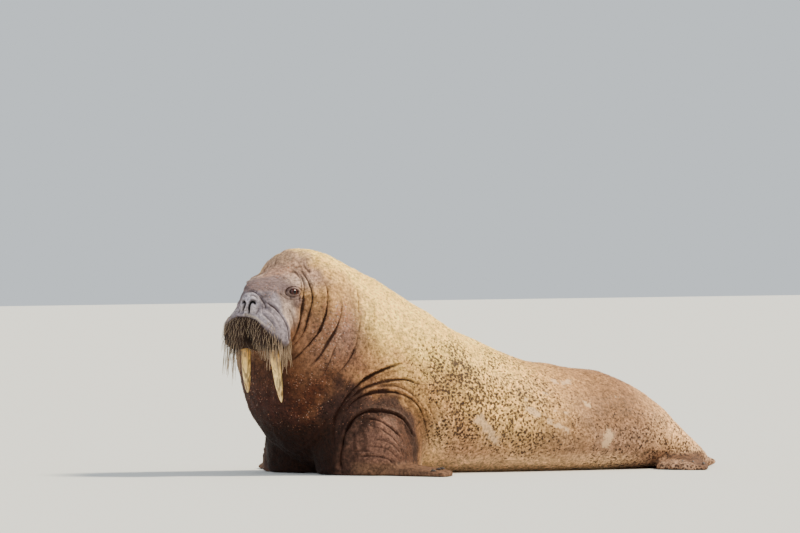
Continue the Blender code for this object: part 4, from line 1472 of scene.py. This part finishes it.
# %% Coat on both sides
for side, sign in SIDES:
    rng = np.random.default_rng(COAT_SEEDS[side])
    share = weight * (y[thirds[:, 0]] * sign < 0.0)
    chosen = rng.choice(len(thirds), COAT_TUFTS, p=share / share.sum())
    mix = rng.dirichlet((1.0, 1.0, 1.0), COAT_TUFTS)
    corners = thirds[chosen]
    up, where = unit(at_roots(normals, corners, mix)), at_roots(straight, corners, mix)
    blades, mean_length = coat_blades(at_roots(points, corners, mix), up, where, rng)
    first = np.arange(COAT_TUFTS)[:, None] * BLADE_POINTS
    quads, ends = first + (1, 0, 2, 3), first + (3, 2, 4)
    mesh = mesh_of("short_coat_" + side, blades.reshape(-1, 3), quads.tolist() + ends.tolist())
    add_colours(mesh, "hide_colour", np.repeat(at_roots(colours, corners, mix), BLADE_POINTS, axis=0))
    for name, values in zip(MASKS, (groove, 0.0 * groove, scar, pits, flecks, off_face)):
        add_mask(mesh, name, np.repeat(at_roots(values, corners, mix), BLADE_POINTS))
    add_mask(mesh, "to_tip", np.tile((0.0, 0.0, 0.6, 0.6, 1.0), COAT_TUFTS))
    laid = mesh.uv_layers.new(name="OFBake")
    spots = coat_places(where)
    flat = np.concatenate((spots[:, (1, 0, 2, 3)].reshape(-1), spots[:, (3, 2, 4)].reshape(-1)))
    laid.data.foreach_set("uv", np.ascontiguousarray(flat, np.float32))
    mesh.materials.append(hair)
    mesh.shade_smooth()
    mesh.normals_split_custom_set_from_vertices(np.repeat(up, BLADE_POINTS, axis=0).tolist())
    coat = object_of("short_coat_" + side, mesh)
    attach(coat, "root")
    print(side, "coat:", 3 * COAT_TUFTS, "triangles, mean length", round(mean_length * 1000, 1), "mm")

# %% [markdown]
# ## Eyes
# The eye is dark, with a red-brown iris and no white to be seen. It is one ball with the colours
# given by how far a point is from the line it looks along, under a clear wet coat.

# %% Helpers for the hard pieces
def ramped(tree, value, stops):
    """Colours along a number, from stops of a place and a colour."""
    ramp = node(tree, "ShaderNodeValToRGB", {0: value})
    elements = ramp.color_ramp.elements
    for position, colour in stops[1:-1]:
        elements.new(position)
    for element, (position, colour) in zip(elements, stops):
        element.position = position
        element.color = (*colour, 1.0)
    return ramp.outputs[0]


def piece_of(name, points, faces, material, **masks):
    """A smooth object with its material and masks."""
    mesh = mesh_of(name, points, faces)
    for mask, values in masks.items():
        add_mask(mesh, mask, values)
    mesh.materials.append(material)
    mesh.shade_smooth()
    return object_of(name, mesh)


# %% Eyeballs
eye_material, eye_shader = principled("dark_eye")
tree = eye_material.node_tree
EYE_STOPS = (
    (0.0, (0.004, 0.002, 0.002)),
    (0.20, (0.006, 0.003, 0.003)),
    (0.26, (0.070, 0.016, 0.011)),
    (0.46, (0.042, 0.010, 0.008)),
    (0.56, (0.020, 0.008, 0.007)),
    (1.0, (0.09, 0.035, 0.028)),
)
iris = ramped(tree, mask_of(tree, "from_pupil"), EYE_STOPS)
join(
    tree,
    eye_shader,
    {
        "Base Color": grained(tree, iris, 400.0, 0.25)[0],
        "Roughness": 0.12,
        "Specular IOR Level": 0.22,
        "Coat Weight": 0.12,
        "Coat Roughness": 0.04,
    },
)
EYE_RINGS, EYE_SIDES = 40, 56
for side, sign in SIDES:
    ball = egg((EYE_RADIUS,) * 3, EYE_RINGS, EYE_SIDES)
    lean = np.arccos(np.clip(unit(ball) @ EYE_LOOK, -1.0, 1.0)) / math.pi
    ball = ball * (1.0 + 0.07 * hump(lean, 0.0, 0.14))[..., None]
    places = on_head(ball + EYE_PLACE, sign).reshape(-1, 3)
    from_pupil = np.clip(lean.ravel() * 2.0, 0.0, 1.0)
    faces = grid_faces(EYE_RINGS, EYE_SIDES)
    eye = piece_of("eyeball_" + side, places, faces, eye_material, from_pupil=from_pupil)
    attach(eye, "root")
    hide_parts("eye_" + side)
print("eyes of", 2000 * EYE_RADIUS, "mm")

# %% [markdown]
# ## Tusks
# Tusks are long teeth of ivory with shallow grooves along them, stained brown near the lip and the
# tip. They are lofts like the solids', with many more points, and the grooves are in the shape.

# %% Ivory
TUSK_PLACE = np.array((0.092, 0.080, -0.245))
TUSK_SUNK, TUSK_HALF_DEEP, TUSK_HALF_WIDE = 0.05, 0.030, 0.022
TUSK_BACK, TUSK_CURL, TUSK_SPREAD = 0.10, 0.22, 0.053
TUSK_LENGTHS, TUSK_SEEDS = {"left": 0.268, "right": 0.225}, {"left": 61, "right": 62}
ivory, ivory_shader = principled("old_ivory")
tree = ivory.node_tree
IVORY_STOPS = (
    (0.0, (0.18, 0.06, 0.015)),
    (0.20, (0.74, 0.36, 0.085)),
    (0.42, (0.98, 0.62, 0.19)),
    (0.72, (1.0, 0.70, 0.27)),
    (0.88, (0.80, 0.50, 0.17)),
    (1.0, (0.90, 0.64, 0.29)),
)
STAIN_BROWN = (0.075, 0.030, 0.012, 1.0)
colour = ramped(tree, mask_of(tree, "down_tusk"), IVORY_STOPS)
colour = mixed(tree, times(tree, mask_of(tree, "tusk_groove"), 0.95), colour, STAIN_BROWN)
colour, fine = grained(tree, colour, 45.0, 0.60)
bump = node(tree, "ShaderNodeBump", {"Height": fine, "Strength": 0.25, "Distance": 0.001})
rough = remapped(tree, fine, 0.3, 0.7, 0.26, 0.5)
join(tree, ivory_shader, {"Base Color": colour, "Roughness": rough, "Normal": bump.outputs[0]})


def tusk_middle(drop):
    """The middle of a tusk at a drop below the lip, as a place on the head."""
    back = TUSK_BACK * drop + TUSK_CURL * drop * abs(drop)
    return TUSK_PLACE + np.array((-back, TUSK_SPREAD * drop, -drop))


print("the tusk leaves the lip at", TUSK_PLACE)

# %% Tusks
TUSK_ROWS, TUSK_SIDES = 90, 48
for side, sign in SIDES:
    length = TUSK_LENGTHS[side]
    turn = np.linspace(0.0, 2.0 * math.pi, TUSK_SIDES, endpoint=False)
    rings, downs, ribs = [], [], []
    for t in np.linspace(0.0, 1.0, TUSK_ROWS):
        drop = length * t - TUSK_SUNK * (1.0 - t)
        slim = (1.0 - 0.30 * t) * math.sqrt(max(0.02, 1.0 - max(0.0, (t - 0.45) / 0.55) ** 2.4))
        wander = 0.25 * math.sin(7.0 * t + sign)
        cut = hump(np.sin((turn + wander - 0.9) * 1.5), 0.0, 0.20) * (0.5 + 0.5 * np.cos(turn * 0.5) ** 2)
        cut = cut * smooth(t / 0.1) * falling(t, 0.97, 0.2)
        out = slim * (1.0 - 0.10 * cut)
        deep, wide = TUSK_HALF_DEEP * np.cos(turn) * out, TUSK_HALF_WIDE * np.sin(turn) * out
        flat = np.stack((deep, wide, 0.0 * turn), -1)
        rings.append(on_head(tusk_middle(drop) + flat, sign))
        downs.append(np.full(TUSK_SIDES, t))
        ribs.append(cut)
    places, down_tusk = np.concatenate(rings), np.concatenate(downs)
    streaks = ripple(places * (1.0, 1.0, 0.22), 0.013, TUSK_SEEDS[side])
    stain = smooth((streaks - 0.62 + 0.42 * rising(down_tusk, 0.45, 0.3)) / 0.3)
    grooved = np.maximum(np.concatenate(ribs), 0.8 * stain)
    faces = grid_faces(TUSK_ROWS, TUSK_SIDES)
    tooth = piece_of(
        "ivory_tusk_" + side, places, faces, ivory, down_tusk=down_tusk, tusk_groove=grooved
    )
    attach(tooth, "root")
    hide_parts("tusk_" + side)
print("tusks", TUSK_LENGTHS)

# %% [markdown]
# ## Whiskers
# Hundreds of stiff bristles, dark at the root and straw-coloured at the tip, stand on the two pads.
# They are short under the nose and as long as a hand at the outer corners. The roots lie on a spiral
# that spreads them evenly. Each bristle is a thin tapered tube that leaves the skin and droops.

# %% Whiskers
WHISKERS_ON_PAD = 460
WHISKER_MIDDLE, WHISKER_SPREAD = unit((0.62, 0.34, -0.70)), math.radians(88.0)
WHISKER_ROOT, WHISKER_TIP, WHISKER_SUNK = 0.0011, 0.0004, 0.006
WHISKER_SHORT, WHISKER_LONG = 0.017, {"left": 0.095, "right": 0.125}
WHISKER_ROWS, WHISKER_SIDES = 8, 4
# Painted light: the near pad's outer whiskers are paler than the far pad's.
WHISKER_PAINTED_LIGHT, WHISKER_SEEDS = {"left": 0.24, "right": 0.06}, {"left": 41, "right": 42}
straw, straw_shader = principled("straw_bristle")
tree = straw.node_tree
straw_stops = ((0.12, (0.022, 0.011, 0.006)), (0.75, (0.50, 0.35, 0.22)))
colour = ramped(tree, mask_of(tree, "to_tip"), straw_stops)
join(tree, straw_shader, {"Base Color": grained(tree, colour, 150.0, 0.3)[0], "Roughness": 0.38})
GOLDEN_ANGLE = math.pi * (3.0 - math.sqrt(5.0))
PAD_RIGHT = unit(np.array((0.0, 1.0, 0.0)) - WHISKER_MIDDLE * WHISKER_MIDDLE[1])
PAD_UP = np.cross(WHISKER_MIDDLE, PAD_RIGHT)


def way_out(k):
    """The direction from the pad's middle to its root number k."""
    lean = WHISKER_SPREAD * math.sqrt((k + 0.5) / WHISKERS_ON_PAD)
    ring = PAD_RIGHT * math.cos(GOLDEN_ANGLE * k) + PAD_UP * math.sin(GOLDEN_ANGLE * k)
    return WHISKER_MIDDLE * math.cos(lean) + ring * math.sin(lean)


def bristle(root, out, length, turn_out, stout):
    """Points of a tapered tube that starts in the skin and droops towards its tip."""
    across = unit(np.cross(out, (0.0, 0.0, 1.0)))
    beside = np.cross(across, out)
    t = np.linspace(0.0, 1.0, WHISKER_ROWS + 1)[:, None, None]
    turn = np.arange(WHISKER_SIDES)[:, None] * (2.0 * math.pi / WHISKER_SIDES)
    reach = (length * t - WHISKER_SUNK * (1.0 - t)) * (1.0 - 0.25 * t)
    middle = root + out * reach - np.array((0.0, 0.0, 0.42 * length)) * t * t + across * (turn_out * t * t)
    thick = (WHISKER_ROOT + (WHISKER_TIP - WHISKER_ROOT) * t * t) * stout
    return (middle + (across * np.cos(turn) + beside * np.sin(turn)) * thick).reshape(-1, 3)


print("spiral of", WHISKERS_ON_PAD, "root places on each pad")

# %% Whiskers on both pads
for side, sign in SIDES:
    rng = np.random.default_rng(WHISKER_SEEDS[side])
    bristle_points, bristle_faces, tips = [], [], []
    for k in range(WHISKERS_ON_PAD):
        way = way_out(k)
        root = pad_places(pad_shape(way * PAD_HALF))
        below = float(below_rim(root * (1.0, sign, 1.0)))
        at_side = float(rising(root[1], 0.065, 0.05))
        if at_side > 0.4 and rng.uniform() < 0.20:
            continue
        at_side = at_side * float(falling(root[1], 0.165, 0.02))
        if root[1] < 0.003 + 0.013 * rising(below, 0.04, 0.05) or below < 0.004 - 0.034 * at_side:
            continue
        normal = unit(way / PAD_HALF)
        hang = 0.9 + 1.3 * smooth(below / 0.12)
        longer = rising(root[1], 0.045, 0.08) * falling(root[2], -0.185, 0.05)
        longer *= 1.0 if rng.uniform() < 0.55 else 0.4
        led = np.array((0.42 * (1.0 - longer), 0.04 * (1.0 - longer), -hang))
        forward = normal * (0.62 - 0.46 * longer) + led
        out = unit(forward + rng.normal(0.0, 0.07, 3))
        length = WHISKER_SHORT + 0.014 * smooth(below / 0.10)
        length += (WHISKER_LONG[side] - length) * longer * rng.uniform(0.6, 1.0)
        at_chin = root[1] < 0.05 and root[2] < -0.19
        length *= rng.uniform(0.85, 1.25) * (0.55 if at_chin else 1.0)
        # Painted light on the outer whiskers, stronger on the near pad.
        painted_light_share = WHISKER_PAINTED_LIGHT[side] * float(rising(root[1], 0.085, 0.04)) * rng.uniform(0.4, 1.0)
        climb = 0.5 if at_chin else 1.0 - 0.40 * longer
        turn_out = rng.uniform(-0.012, 0.012)
        first = len(tips) * WHISKER_SIDES * (WHISKER_ROWS + 1)
        bristle_points.append(bristle(root, out, length, turn_out, 0.8 + 0.5 * longer))
        tips.append(np.minimum(1.0, painted_light_share + np.linspace(0.0, climb, WHISKER_ROWS + 1)))
        bristle_faces += [[i + first for i in face] for face in grid_faces(WHISKER_ROWS + 1, WHISKER_SIDES)]
    places = on_head(np.concatenate(bristle_points), sign)
    to_tip = np.repeat(np.concatenate(tips), WHISKER_SIDES)
    bristles = piece_of("whiskers_" + side, places, bristle_faces, straw, to_tip=to_tip)
    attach(bristles, "root")
    print(side, "whiskers:", len(tips))

# %% [markdown]
# ## Claws
# Each toe has a small blunt nail on its back, well short of the flipper's edge.

# %% Claws
horn, horn_shader = principled("dark_horn")
tree = horn.node_tree
colour = grained(tree, (0.055, 0.038, 0.030, 1.0), 220.0, 0.35)[0]
join(tree, horn_shader, {"Base Color": colour, "Roughness": 0.4})
CLAW_HALF, CLAW_ALONG = np.array((0.015, 0.006, 0.006)), 0.84
CLAW_RINGS, CLAW_SIDES = 14, 16
for name, form in (("fore", FOREFLIPPER), ("hind", HIND_FLIPPER)):
    for side, sign in SIDES:
        ahead, across = flipper_axes(form, sign)
        claw_points, claw_faces = [], []
        for toe in range(form.toes):
            u = (2.0 * toe + 1.0) / form.toes - 1.0
            root = flipper_points(form, sign, np.array((CLAW_ALONG,)), np.array((u,)))[0]
            shape = egg(CLAW_HALF, CLAW_RINGS, CLAW_SIDES).reshape(-1, 3)
            slim = 1.0 - 0.35 * smooth(shape[:, 0] / CLAW_HALF[0])
            nail = root + np.outer(shape[:, 0], ahead) + np.outer(shape[:, 1] * slim, across)
            nail[:, 2] += shape[:, 2] * slim - 0.0015 * (shape[:, 0] / CLAW_HALF[0]) ** 2
            first = len(claw_points)
            claw_faces += [[i + first for i in face] for face in grid_faces(CLAW_RINGS, CLAW_SIDES)]
            claw_points += nail.tolist()
        claws = piece_of(f"claws_{name}_{side}", claw_points, claw_faces, horn)
        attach(claws, "root")
print("claws:", 4 * FOREFLIPPER.toes)
